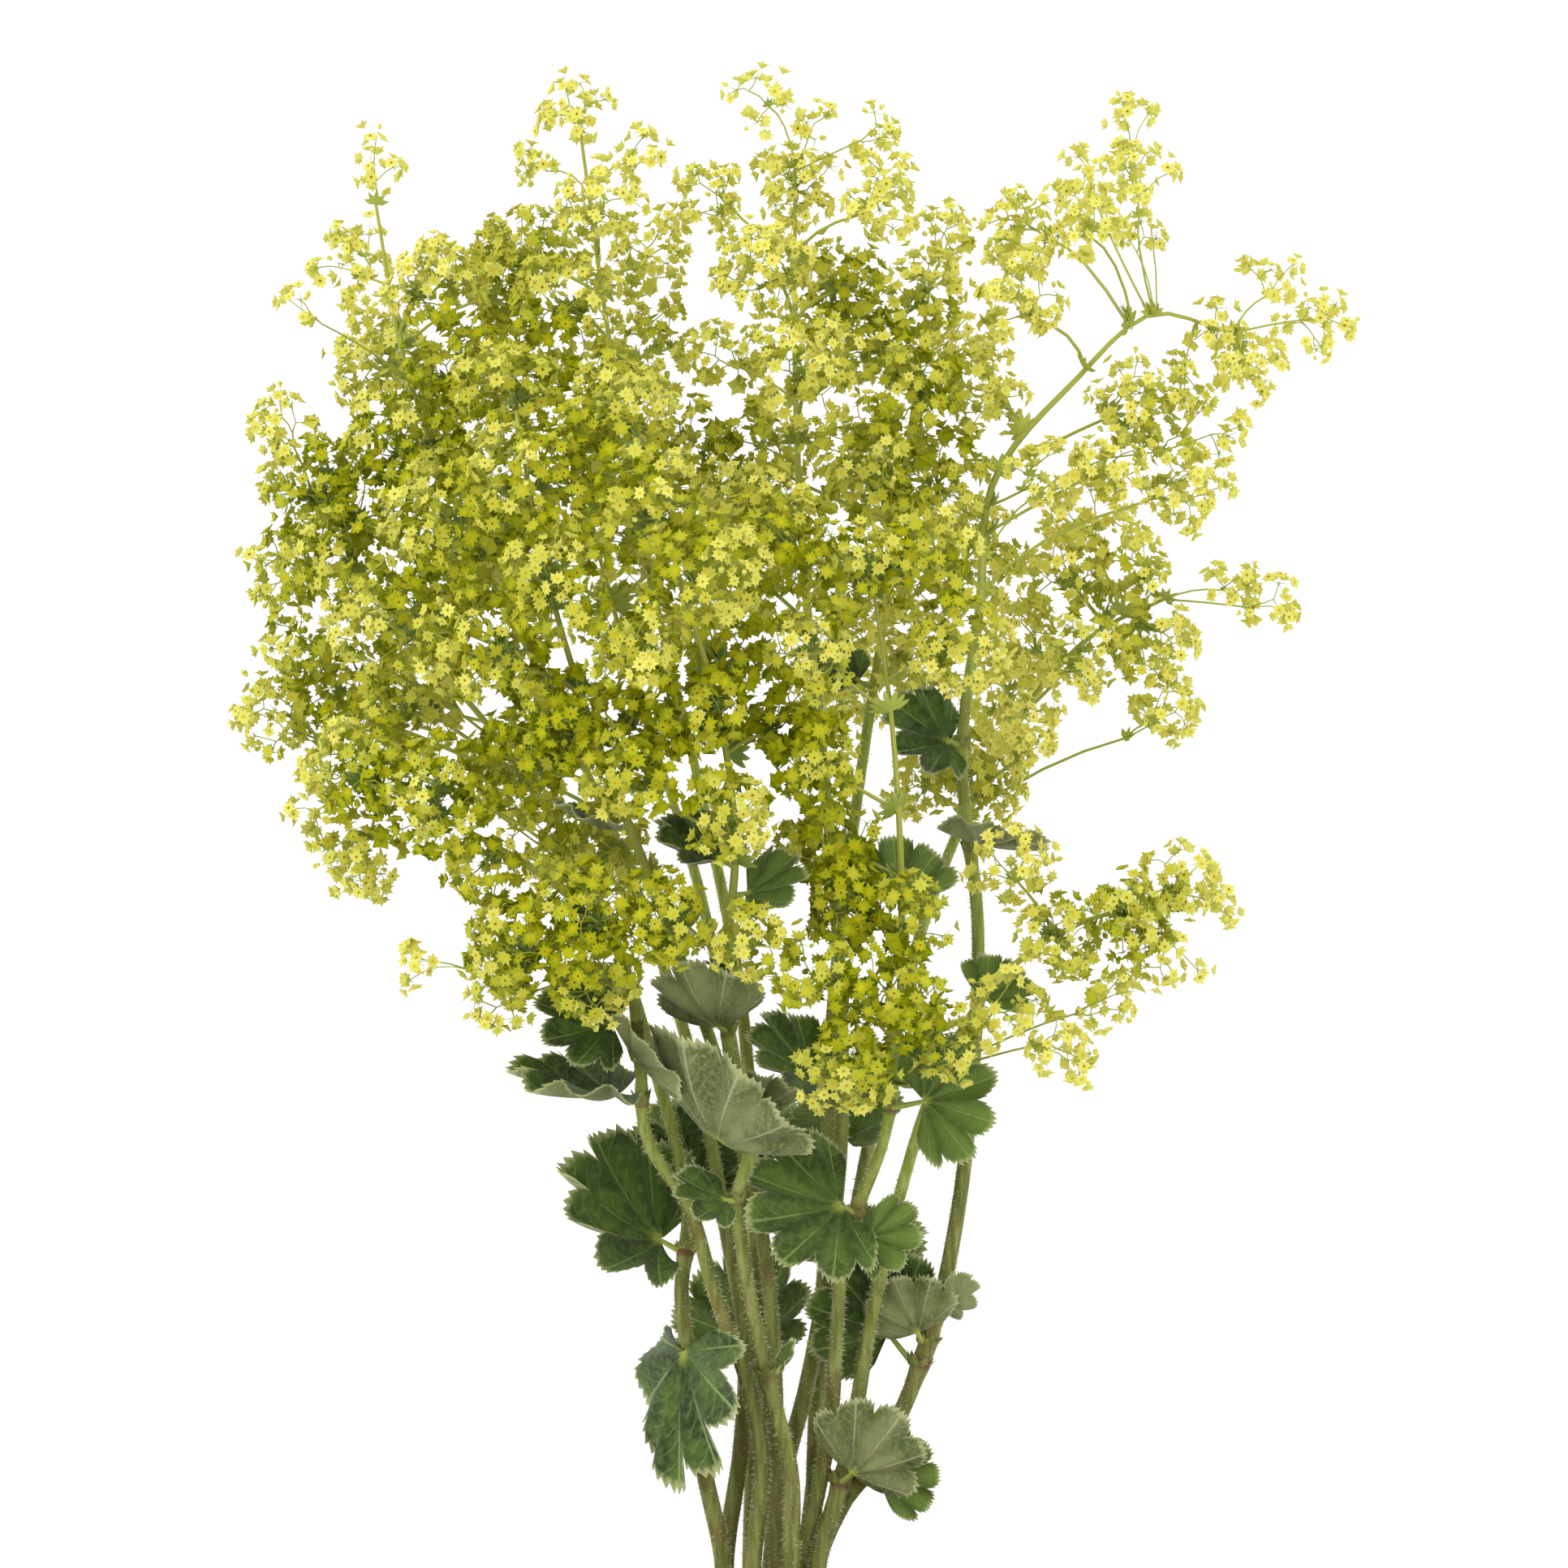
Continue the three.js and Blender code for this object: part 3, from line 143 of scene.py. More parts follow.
# The stems, one to a row: the height where the bare stem ends and the spray begins, the path, from the foot
# in the soil, through the crown, to the spray's tip, and the plumes of the spray, each [x, y, z, radius].
Stem = collections.namedtuple("Stem", "junction path plumes")
STEMS = [Stem(*row) for row in (
    (345,
     [[-20, -6, 112], [-18, -6, 140], [-16.3, -6, 165], [-21.5, -8, 192], [-24.5, -9, 216], [-27.7, -9, 240],
      [-26, -6, 262], [-36, 0, 304], [-50, 4, 345], [-74, 6, 385], [-103, 6, 420], [-127, 6, 452]],
     [[-134, 4, 436, 12], [-128, 10, 458, 14], [-136, 14, 476, 9], [-120, -14, 438, 14], [-138, -6, 396, 11],
      [-121, 4, 402, 15], [-126, -16, 382, 8], [-98, 26, 424, 15], [-100, -18, 398, 14], [-62, -6, 362, 12],
      [-130, -10, 415, 10], [-110, 0, 452, 12]]),
    (322,
     [[-5, -14, 112], [-6.5, -14, 140], [-8.4, -15, 165], [-6, -17, 197], [-10.3, -18.5, 218],
      [-18.5, -20, 240], [-25.5, -23, 264], [-36.5, -27, 282], [-38.7, -31, 306], [-43, -38, 330],
      [-60, -46, 350], [-86, -48, 366], [-112, -45, 377]],
     [[-124, -35, 370, 8], [-112, -40, 358, 11], [-111, -48, 384, 15], [-92, -56, 374, 16],
      [-80, -52, 354, 10], [-71, -62, 335, 14], [-54, -68, 345, 13], [-98, -50, 330, 5], [-50, -56, 326, 11],
      [-75, -50, 322, 9]]),
    (352,
     [[-13, 5, 112], [-14.5, 5, 140], [-16, 5, 165], [-11.7, 6, 197], [-10.6, 7, 226], [-15.2, 9, 253],
      [-22, 13, 290], [-32, 18, 325], [-47, 21, 365], [-68, 22, 410], [-90, 18, 455], [-104, 12, 495],
      [-111, 8, 535]],
     [[-112, 6, 547, 7], [-119, 26, 520, 10], [-131, -6, 506, 6], [-112, 34, 494, 15], [-94, -10, 512, 13],
      [-102, -4, 470, 17], [-87, 0, 490, 15], [-84, 36, 442, 16], [-78, -12, 446, 15], [-77, 38, 516, 11],
      [-73, 16, 380, 14]]),
    (372,
     [[-9, 15, 112], [-9, 16, 140], [-9, 17, 165], [-8, 20, 210], [-8, 23, 260], [-12, 29, 320],
      [-24, 32, 380], [-38, 29, 440], [-48, 24, 500], [-56, 20, 558]],
     [[-57, 20, 562, 9], [-67, 36, 548, 6], [-39, 4, 549, 7], [-51, -2, 534, 11], [-72, 44, 526, 13],
      [-58, -8, 507, 15], [-37, 42, 524, 11], [-76, 48, 497, 13], [-36, 50, 498, 14], [-44, 2, 448, 15],
      [-48, -20, 480, 15], [-26, 12, 468, 13]]),
    (352,
     [[-1, -4, 112], [-1, -4, 140], [-1.5, -4.5, 165], [-2, -6, 200], [-5, -10, 250], [-17, -20, 300],
      [-33, -38, 345], [-50, -54, 390], [-62, -64, 430], [-70, -64, 470]],
     [[-90, -48, 446, 18], [-68, -62, 456, 17], [-60, -78, 431, 15], [-80, -64, 415, 17],
      [-60, -62, 395, 15], [-107, -40, 420, 15], [-73, -34, 481, 16], [-70, -42, 384, 13],
      [-50, -30, 362, 13], [-37, -58, 396, 12]]),
    (328,
     [[4, -17, 112], [3, -17, 140], [1.8, -17.5, 165], [1.8, -19, 192], [-4.2, -22, 217], [-9, -25, 240],
      [-12.3, -29, 267], [-9, -32, 281], [-14, -37, 300], [-15.6, -42, 327], [-13, -49, 361],
      [-17, -57, 395], [-27, -66, 430], [-38, -66, 465]],
     [[-44, -56, 474, 15], [-36, -72, 450, 16], [-18, -80, 433, 14], [-38, -82, 414, 13],
      [-21, -68, 396, 12], [-41, -72, 380, 12], [-32, -66, 343, 12], [-9, -68, 336, 10], [-14, -74, 370, 12],
      [-16, -46, 414, 13], [0, -44, 396, 12]]),
    (405,
     [[-2, 8, 112], [-3, 8, 140], [-3.5, 8, 165], [0.5, 8, 192], [6, 8, 213], [11, 9, 240], [15.5, 11, 280],
      [15, 12, 330], [10, 12, 390], [5, 10, 440], [3, 6, 490], [3, 6, 545]],
     [[-6, -8, 562, 8], [23, 22, 557, 7], [10, 10, 556, 5], [4, 8, 541, 11], [-20, 28, 538, 10],
      [26, -14, 536, 11], [-6, -22, 517, 13], [15, 30, 515, 13], [6, -30, 489, 15], [-17, 22, 495, 10],
      [-14, 30, 436, 16], [-10, -16, 452, 15], [20, -14, 428, 14]]),
    (400,
     [[9, 14, 112], [8.5, 15, 140], [8, 16, 165], [9, 19, 210], [12, 23, 262], [13, 27, 310], [19, 33, 365],
      [27, 36, 420], [34, 32, 470], [40, 24, 515]],
     [[44, 32, 529, 9], [38, 6, 511, 12], [34, -8, 486, 14], [50, 46, 497, 11], [21, -14, 462, 15],
      [42, 4, 458, 15], [-6, 20, 470, 13], [25, 62, 468, 17], [50, 60, 440, 17], [14, 84, 404, 14],
      [21, 28, 500, 13], [36, 20, 413, 12]]),
    (297,
     [[8, -6, 112], [6, -5.5, 140], [4.2, -5, 165], [8.6, -7, 184], [12.5, -9, 205], [14.3, -13, 230],
      [16.3, -17, 253], [27.3, -24, 284], [31, -31, 318], [31, -38, 360], [28, -44, 400], [22, -48, 440]],
     [[-4, -50, 444, 15], [17, -56, 436, 14], [38, -44, 437, 14], [6, -66, 413, 12], [47, -47, 415, 14],
      [8, -56, 384, 12], [27, -60, 321, 14], [16, -62, 302, 12], [34, -53, 342, 10], [7, -66, 329, 10],
      [45, -52, 309, 10], [17, -46, 346, 12], [12, -38, 362, 12]]),
    (420,
     [[13, 5, 112], [11, 4, 140], [9, 3, 165], [16.3, 2, 183], [28.2, 0, 200], [37.6, -1, 222],
      [43, -1, 240], [49.3, -1, 278], [52.6, 0, 337], [48.2, 0, 385], [53, 2, 425], [57, 2, 460],
      [79, 0, 487], [100, 4, 505], [122, 10, 500]],
     [[94, -5, 560, 6], [96, -18, 543, 9], [82, 20, 541, 9], [66, 30, 530, 11], [84, -22, 525, 10],
      [99, -6, 526, 6], [63, -18, 509, 12], [109, 8, 486, 8], [115, 12, 501, 8], [134, 15, 517, 8],
      [145, 18, 503, 9], [127, 12, 493, 10], [118, 14, 473, 8], [96, 4, 481, 12], [90, -6, 464, 11],
      [110, 0, 458, 11], [71, -9, 462, 10], [54, 4, 484, 12]]),
    (368,
     [[3, 22, 112], [4.5, 22, 140], [6, 22, 165], [13, 27, 220], [28, 34, 300], [44, 36, 355], [64, 32, 395],
      [84, 24, 418], [104, 20, 428]],
     [[122, 20, 432, 8], [133, 22, 427, 8], [97, 10, 437, 10], [77, 14, 436, 13], [101, 12, 415, 11],
      [103, 10, 398, 10], [80, 2, 412, 12], [64, 22, 418, 11], [64, -10, 392, 10], [85, 46, 452, 11],
      [62, 64, 402, 14], [54, 22, 380, 13], [38, 22, 378, 10]]),
    (300,
     [[13, -8, 112], [11, -8.5, 140], [9, -9, 165], [17, -8, 195], [24, -9, 235], [32, -18, 270],
      [41, -27, 298], [56, -34, 324], [78, -38, 340], [100, -38, 346]],
     [[106, -35, 353, 10], [118, -32, 346, 6], [91, -42, 342, 12], [103, -43, 331, 8], [74, -43, 336, 11],
      [76, -46, 308, 9], [60, -49, 320, 9], [61, -36, 357, 10], [87, -43, 320, 8]]),
    (360,
     [[-3, 24, 112], [-3, 25, 140], [-3, 26, 165], [-6, 33, 220], [-12, 46, 290], [-24, 58, 350],
      [-40, 66, 400], [-54, 66, 450]],
     [[-72, 60, 440, 17], [-94, 48, 468, 14], [-40, 80, 425, 17], [-50, 68, 470, 16], [-12, 82, 446, 16],
      [-98, 46, 410, 15], [-62, 74, 396, 14]]),
)]

# The leaves, one to a row: the stem it grows on, counted from 1, the height and the direction where it leaves
# the stem, its blade's heading, pitch and roll before it is turned clear of its neighbours, the length of its
# midline, its lobes, its stalk's length, and how far its edge is raised.
Leaf = collections.namedtuple("Leaf", "stem height leaving aim size lobes stalk cup")
LEAVES = [Leaf(*row) for row in (
    (1, 224, 262, (205, -80, -13), 36, 7, 3, -0.1),
    (1, 251, 200, (186, 26, 40), 33, 7, 5, 0.3),
    (2, 293, 190, (183, 3, 10), 29, 7, 4, 0.2),
    (6, 281, 235, (206, 6, -20), 34, 7, 5, 0.34),
    (6, 266, 220, (205, 2, 40), 15, 5, 2, 0.12),
    (6, 290, -70, (-66, 14, 6), 17, 7, 2, 0.36),
    (9, 262, 215, (192, -10, 54), 27, 7, 4, 0.12),
    (9, 256, -30, (-20, -12, -58), 15, 5, 2, 0.2),
    (9, 291, -40, (-10, 4, -66), 22, 7, 10, 0.1),
    (10, 220, 160, (166, 44, 56), 24, 7, 9, 0.14),
    (10, 226, 235, (205, 60, -34), 16, 5, 3, 0.2),
    (12, 189, -70, (-20, 46, 60), 21, 5, 5, 0.2),
    (10, 189, -40, (-12, 40, -60), 16, 7, 4, 0.2),
    (10, 236, -60, (-24, 62, 0), 10, 5, 1.5, 0.2),
    (6, 219, -30, (-20, 50, -30), 8, 5, 1.5, 0.2),
    (2, 312, 190, (186, 12, 50), 21, 7, 4, 0.1),
    (2, 304, 260, (275, 6, 30), 18, 5, 3, 0.14),
    (6, 312, 230, (228, 36, -10), 21, 5, 2, 0.3),
    (6, 356, 180, (168, 24, 20), 19, 5, 2, 0.2),
    (6, 348, -30, (-12, 8, -40), 17, 5, 2, 0.2),
    (9, 344, 90, (100, 50, 0), 19, 5, 2, 0.2),
    (10, 360, -50, (-62, 14, 0), 20, 5, 2, 0.16),
    (10, 388, 220, (190, 12, 50), 20, 7, 2, 0.14),
    (8, 404, 190, (170, 24, 30), 16, 5, 2, 0.2),
    (5, 366, 200, (190, 20, 20), 17, 5, 2, 0.2),
    (12, 318, 90, (40, 30, -40), 14, 5, 2, 0.2),
    (3, 262, 130, (150, 26, 0), 27, 7, 6, 0.2),
    (4, 220, 100, (86, 42, 0), 26, 7, 8, 0.2),
    (8, 277, 60, (40, 26, 0), 25, 7, 6, 0.2),
    (11, 244, 80, (92, 26, 0), 24, 7, 6, 0.2),
    (13, 274, 110, (100, 22, 0), 30, 7, 5, 0.2),
    (7, 296, 190, (196, 22, 30), 22, 7, 4, 0.2),
)]


# Forms and meshes

def unit(vectors):
    """The vectors at length 1."""
    vectors = np.asarray(vectors, float)
    return vectors / np.maximum(np.linalg.norm(vectors, axis=-1, keepdims=True), TINY)


def between(first, second, share):
    """The first value where the share is 0, and the second where it is 1."""
    return first + (second - first) * share


def smooth_step(low, high, value):
    """0 below low, 1 above high, and a soft step between them."""
    share = np.clip((value - low) / (high - low), 0, 1)
    return share * share * (3 - 2 * share)


class Curve:
    """A centripetal Catmull-Rom curve through points, measured by shares of its length."""

    def __init__(self, points):
        self.points = np.array(points, float)
        self.times = np.linspace(0, 1, CURVE_SAMPLES)
        steps = np.linalg.norm(np.diff(self.at_time(self.times), axis=0), axis=1)
        self.run = np.concatenate([[0], np.cumsum(steps)])
        self.length = self.run[-1]

    def at_time(self, times):
        points = self.points
        padded = np.array([2 * points[0] - points[1], *points, 2 * points[-1] - points[-2]])
        place = np.clip(np.asarray(times, float), 0, 1) * (len(points) - 1)
        first = np.minimum(place.astype(int), len(points) - 2)
        w = (place - first)[:, None]
        p0, p1, p2, p3 = (padded[first + k] for k in range(4))
        pairs = ((p0, p1), (p1, p2), (p2, p3))
        d0, d1, d2 = (np.sqrt(np.linalg.norm(b - a, axis=1))[:, None] for a, b in pairs)
        t1 = ((p1 - p0) / d0 - (p2 - p0) / (d0 + d1) + (p2 - p1) / d1) * d1
        t2 = ((p2 - p1) / d1 - (p3 - p1) / (d1 + d2) + (p3 - p2) / d2) * d1
        c2 = 3 * (p2 - p1) - 2 * t1 - t2
        c3 = 2 * (p1 - p2) + t1 + t2
        return p1 + (t1 + (c2 + c3 * w) * w) * w

    def time(self, shares):
        return np.interp(np.asarray(shares, float) * self.length, self.run, self.times)

    def at(self, shares):
        return self.at_time(np.atleast_1d(self.time(shares)))

    def along(self, shares):
        times = np.atleast_1d(self.time(shares))
        return unit(self.at_time(times + SHORT_STEP) - self.at_time(times - SHORT_STEP))

    def share_at_height(self, height):
        shares = np.arange(1, HEIGHT_SAMPLES + 1) / HEIGHT_SAMPLES
        return shares[np.argmax(self.at(shares)[:, 2] >= height)]


class Sheaf:
    """Points, triangles and paint that grow into one mesh. Paint is four shares a point for the material."""

    def __init__(self):
        self.points = []
        self.triangles = []
        self.paint = []
        self.count = 0

    def add(self, points, triangles, paint):
        points = np.asarray(points, float).reshape(-1, 3)
        self.points.append(points)
        self.triangles.append(np.asarray(triangles, int).reshape(-1, 3) + self.count)
        self.paint.append(np.broadcast_to(np.asarray(paint, float), (len(points), 4)))
        self.count += len(points)

    def piece(self, name, material, slot, nodes, sharp=SHARPNESS):
        """The mesh as a named piece that rides on the part and stands for its nodes."""
        points = np.concatenate(self.points) * MM
        triangles = np.concatenate(self.triangles)
        mesh = bpy.data.meshes.new(name)
        mesh.vertices.add(len(points))
        mesh.vertices.foreach_set("co", points.astype(np.float32).ravel())
        mesh.loops.add(3 * len(triangles))
        mesh.loops.foreach_set("vertex_index", triangles.astype(np.int32).ravel())
        mesh.polygons.add(len(triangles))
        mesh.polygons.foreach_set("loop_start", np.arange(0, 3 * len(triangles), 3, dtype=np.int32))
        mesh.polygons.foreach_set("use_smooth", np.ones(len(triangles), bool))
        mesh.update(calc_edges=True)
        paint = mesh.attributes.new("paint", "FLOAT_COLOR", "POINT")
        paint.data.foreach_set("color", np.concatenate(self.paint).astype(np.float32).ravel())
        mesh.set_sharp_from_angle(angle=math.radians(sharp))
        mesh.materials.append(material)
        piece = bpy.data.objects.new(name, mesh)
        bpy.context.scene.collection.objects.link(piece)
        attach(piece, "root")
        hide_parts(*nodes)
        return piece


def turns_to(normals, spins):
    """Turning matrices whose third axis is each normal, each turned round it by its spin."""
    normals = unit(normals)
    helper = np.where(np.abs(normals[:, 2:3]) < UPRIGHT, [[0.0, 0.0, 1.0]], [[1.0, 0.0, 0.0]])
    side = unit(np.cross(helper, normals))
    other = np.cross(normals, side)
    c = np.cos(spins)[:, None]
    s = np.sin(spins)[:, None]
    return np.stack([side * c + other * s, other * c - side * s, normals], axis=2)


def frames_along(alongs, ups):
    """Turning matrices whose first axis is each along and whose third is nearest to each up."""
    alongs = unit(alongs)
    ups = unit(ups - alongs * np.sum(ups * alongs, axis=1, keepdims=True))
    return np.stack([alongs, np.cross(ups, alongs), ups], axis=2)


def row_numbers(rows, start):
    """The numbers of the points of rows that follow one another, counted from start."""
    numbers = []
    for row in rows:
        numbers.append(list(range(start, start + len(row))))
        start += len(row)
    return numbers


def stitch(first, second):
    """Triangles between two rows of point numbers, which may differ in count."""
    n, m = len(first) - 1, len(second) - 1
    triangles = []
    i = j = 0
    while i < n or j < m:
        a, b = first[i], second[j]
        if j < m and (i == n or (j + 0.5) / m <= (i + 0.5) / n):
            triangles.append([a, b, second[j + 1]])
            j += 1
        else:
            triangles.append([a, b, first[i + 1]])
            i += 1
    return triangles


def turned(top, loops, bottom):
    """Points and triangles of a closed body: a top point, loops round the Z axis, and a bottom point."""
    points = [top, *(spot for row in loops for spot in row), bottom]
    closed = [[*row, row[0]] for row in row_numbers(loops, 1)]
    triangles = [[0, a, b] for a, b in zip(closed[0], closed[0][1:])]
    for first, second in zip(closed, closed[1:]):
        triangles += stitch(first, second)
    last = len(points) - 1
    triangles += [[last, b, a] for a, b in zip(closed[-1], closed[-1][1:])]
    return np.array(points, float), np.array(triangles)


def spoke(reach, angle, height):
    """The point so far from the Z axis, at an angle and a height."""
    return [reach * math.cos(angle), reach * math.sin(angle), height]


def loop(radius, height, count, start=0.0):
    """A plain round loop of points."""
    return [spoke(radius, angle, height) for angle in start + FULL_TURN * np.arange(count) / count]


def toothed_loop(teeth, tip, notch):
    """A loop with so many teeth. Tips and notches are given by reach and height."""
    edge = []
    for k in range(2 * teeth):
        reach, height = notch if k % 2 else tip
        edge.append(spoke(reach, math.pi * k / teeth, height))
    return edge


def tube(sheaf, centres, alongs, radii, sides, paint):
    """Adds a closed tube through centres, with a ring of the given radius at each."""
    across = np.array([1.0, 0.0, 0.0])
    angles = FULL_TURN * np.arange(sides) / sides
    rings = []
    for centre, along, radius in zip(centres, alongs, radii):
        across = unit(across - along * across.dot(along))
        beside = np.cross(along, across)
        rings.append(centre + radius * (np.outer(np.cos(angles), across) + np.outer(np.sin(angles), beside)))
    last = (len(rings) - 1) * sides
    triangles = []
    for row in range(0, last, sides):
        for k in range(sides):
            a, b = row + k, row + (k + 1) % sides
            triangles += [[a, b, b + sides], [a, b + sides, a + sides]]
    for k in range(1, sides - 1):
        triangles += [[0, k + 1, k], [last, last + k, last + k + 1]]
    if np.ndim(paint) == 2:
        paint = np.repeat(paint, sides, axis=0)
    sheaf.add(np.concatenate(rings), triangles, paint)


def spikes(sheaf, starts, ends, radius, paint):
    """Adds a slim three-sided spike from each start to each end."""
    count = len(starts)
    turns = turns_to(ends - starts, np.zeros(count))
    angles = FULL_TURN * np.arange(3) / 3
    corners = np.stack([np.cos(angles), np.sin(angles), np.zeros(3)], axis=1)
    base = starts[:, None] + np.einsum("nij,kj->nki", turns, corners) * radius
    points = np.concatenate([base, ends[:, None]], axis=1)
    triangles = np.array([[0, 2, 1], [0, 1, 3], [1, 2, 3], [2, 0, 3]])
    triangles = triangles[None] + 4 * np.arange(count)[:, None, None]
    paint = np.repeat(np.broadcast_to(np.asarray(paint, float), (count, 4)), 4, axis=0)
    sheaf.add(points, triangles, paint)


def copies(sheaf, form, places, turns, sizes, tones, cups=None):
    """Adds a copy of a form, given as points, triangles and paint, at each place."""
    points, triangles, paint = form
    count = len(places)
    local = np.repeat(points[None], count, axis=0)
    if cups is not None:
        local[:, :, 2] += cups[:, None] * np.sum(points[:, :2] ** 2, axis=1)[None]
    local = np.einsum("nij,nkj->nki", turns, local) * np.reshape(sizes, (-1, 1, 1)) + places[:, None]
    numbers = triangles[None] + len(points) * np.arange(count)[:, None, None]
    painted = np.repeat(paint[None], count, axis=0)
    painted[:, :, 0] = tones[:, None]
    sheaf.add(local, numbers, painted.reshape(-1, 4))


def directions(count, rng):
    """Random directions, even all round."""
    return unit(rng.normal(size=(count, 3)))


# Florets and bracts, one long. A floret's paint is tone, distance from the middle, disc, and underside. Its
# lobes stand between the sepals, NOTCH_TURN degrees from the notches beside them. EDGE_GREEN says how green
# the edge is at a sepal's tip, a notch, a lobe, and the next notch.
SEPAL_RISE = 0.08
NOTCH_RISE = 0.02
LOBE_REACH = 0.86
LOBE_RISE = -0.03
NOTCH_TURN = 19
EDGE_GREEN = [0.0, 0.75, 0.4, 0.75] * 4


def star(notch):
    """The edge of a floret: four sepals, a smaller lobe between each two, and notches of the given reach."""
    spots = (
        (0, 1.0, SEPAL_RISE),
        (45 - NOTCH_TURN, notch, NOTCH_RISE),
        (45, LOBE_REACH, LOBE_RISE),
        (45 + NOTCH_TURN, notch, NOTCH_RISE),
    )
    edge = []
    for quarter in range(4):
        for angle, reach, height in spots:
            edge.append(spoke(reach, math.radians(90 * quarter + angle), height))
    return edge


def floret_form(top, loops, bottom, disc, underside):
    """A floret with its paint. disc and underside are the shares of each of its points, from the top down."""
    points, triangles = turned([0, 0, top], loops, [0, 0, bottom])
    paint = np.zeros((len(points), 4))
    paint[:, 1] = np.clip(np.linalg.norm(points[:, :2], axis=1), 0, 1)
    paint[:, 2] = disc
    paint[:, 3] = underside
    return points, triangles, paint


# From the finest to the plainest: an open floret with a raised ring round its sunken middle, one with a
# simpler disc, a plain star of sepals and lobes, and a four-pointed star. The last form is an egg-shaped bud.
FLORET_FORMS = [
    floret_form(0, [loop(0.2, 0.1, 6), loop(0.34, 0.03, 8), star(0.57), loop(0.22, -0.3, 4)], -0.5,
                [1.0] + [0.55] * 6 + [0.1] * 8 + [0] * 21, [0] * 15 + EDGE_GREEN + [1] * 5),
    floret_form(0, [loop(0.27, 0.08, 6), star(0.57)], -0.42,
                [1.0] + [0.4] * 6 + [0] * 17, [0] * 7 + EDGE_GREEN + [1]),
    floret_form(-0.02, [star(0.58)], -0.4, [0.7] + [0] * 17, [0] + EDGE_GREEN + [1]),
    floret_form(-0.02, [toothed_loop(4, (1.05, 0.05), (0.66, 0.0))], -0.4, [0.5] + [0] * 9,
                [0] + [0.1] * 8 + [1]),
    floret_form(0.5, [loop(0.34, 0.18, 4), loop(0.3, -0.2, 4, 0.8)], -0.5, 0,
                [0] + [0.3] * 4 + [0.8] * 4 + [1]),
]
INNER_LEVEL = 3
BUD = 4

# A bract's spread in degrees, how much shorter its outer lobes are, how far its edge is raised, and the reach
# of its notches, of the edge's first spot, of its lobes' shoulders, and of the edge's last spot
BRACT_SPREAD = 190
BRACT_NARROWING = 0.18
BRACT_CUP = 0.32
BRACT_NOTCH = 0.56
BRACT_START = 0.5
BRACT_SHOULDER = 0.84
BRACT_END = 0.45


def bract(lobes, shoulders):
    """A small cupped bract along +X from its base, lens-shaped across, with its reach as the third paint."""
    edge = [[0, 0, 0]]
    step = BRACT_SPREAD / lobes
    half = BRACT_SPREAD / 2
    for k in range(lobes):
        middle = (k - (lobes - 1) / 2) * step
        spots = [(-0.5, BRACT_NOTCH if k else BRACT_START)]
        spots += [(-0.27, BRACT_SHOULDER), (0, 1.0), (0.27, BRACT_SHOULDER)] if shoulders else [(0, 1.0)]
        for turn, reach in spots:
            reach *= 1 - BRACT_NARROWING * abs(middle) / half
            edge.append(spoke(reach, math.radians(middle + turn * step), BRACT_CUP * reach ** 2))
    edge.append(spoke(BRACT_END, math.radians(half), 0.06))
    points, triangles = turned([0.4, 0, 0.1], [edge], [0.4, 0, -0.02])
    paint = np.tile([0.0, 0.0, 0.0, 1.0], (len(points), 1))
    paint[:, 2] = np.clip(np.linalg.norm(points[:, :2], axis=1), 0, 0.9)
    return points, triangles, paint


LARGE_BRACT = bract(7, True)
SMALL_BRACT = bract(5, False)


# The frames of the stems, as in the solids

def stem_rings(curve, junction):
    """Centres and radii of the solid stem's rings, and of its spray's axis past the junction."""
    collar = curve.share_at_height(COLLAR_HEIGHT)
    steps = math.ceil((junction - collar) * curve.length / STEM_STEP)
    share = np.arange(steps + 1) / steps
    centres = [curve.at(0), curve.at(between(collar, junction, share))]
    radii = [[STEM_FOOT_RADIUS], between(STEM_FOOT_RADIUS, STEM_TOP_RADIUS, share)]
    gap = CLEARANCE / curve.length
    steps = math.ceil((1 - junction) * curve.length / STEM_STEP)
    share = np.arange(steps + 1) / steps
    centres.append(curve.at(junction + gap + (1 - junction - gap) * share))
    radii.append(between(STEM_TOP_RADIUS, AXIS_END_RADIUS, share))
    return np.concatenate(centres), np.concatenate(radii)


CURVES = [Curve(stem.path) for stem in STEMS]
JUNCTIONS = [curve.share_at_height(stem.junction) for curve, stem in zip(CURVES, STEMS)]
RINGS = [stem_rings(curve, junction) for curve, junction in zip(CURVES, JUNCTIONS)]


def ring_at(rings, height):
    """The centre, the radius and the direction of a chain of rings at a height."""
    centres, radii = rings
    i = int(np.argmax(centres[:, 2] > height))
    a, b = centres[i - 1], centres[i]
    t = (height - a[2]) / (b[2] - a[2])
    return between(a, b, t), between(radii[i - 1], radii[i], t), unit(b - a)


# The sprays: forked twigs that carry small clusters of florets. A plume has a cluster to so much of its
# radius squared, and one thinner than FULL_PLUME has fewer. The plant's heart, low in the middle of the
# flowers, is fuller. Each cluster takes the emptiest of some random places in a band of the plume's radius.
CLUSTER_AREA = 8.08
HEART = np.array([-6.0, -34.0, 350.0])
HEART_REACH = np.array([72.0, 90.0, 56.0])
HEART_SHARE = 0.6
FULL_PLUME = 12
FEWEST_CLUSTERS = 3
CLUSTER_TRIES = 12
CLUSTER_BAND = (0.3, 0.98)

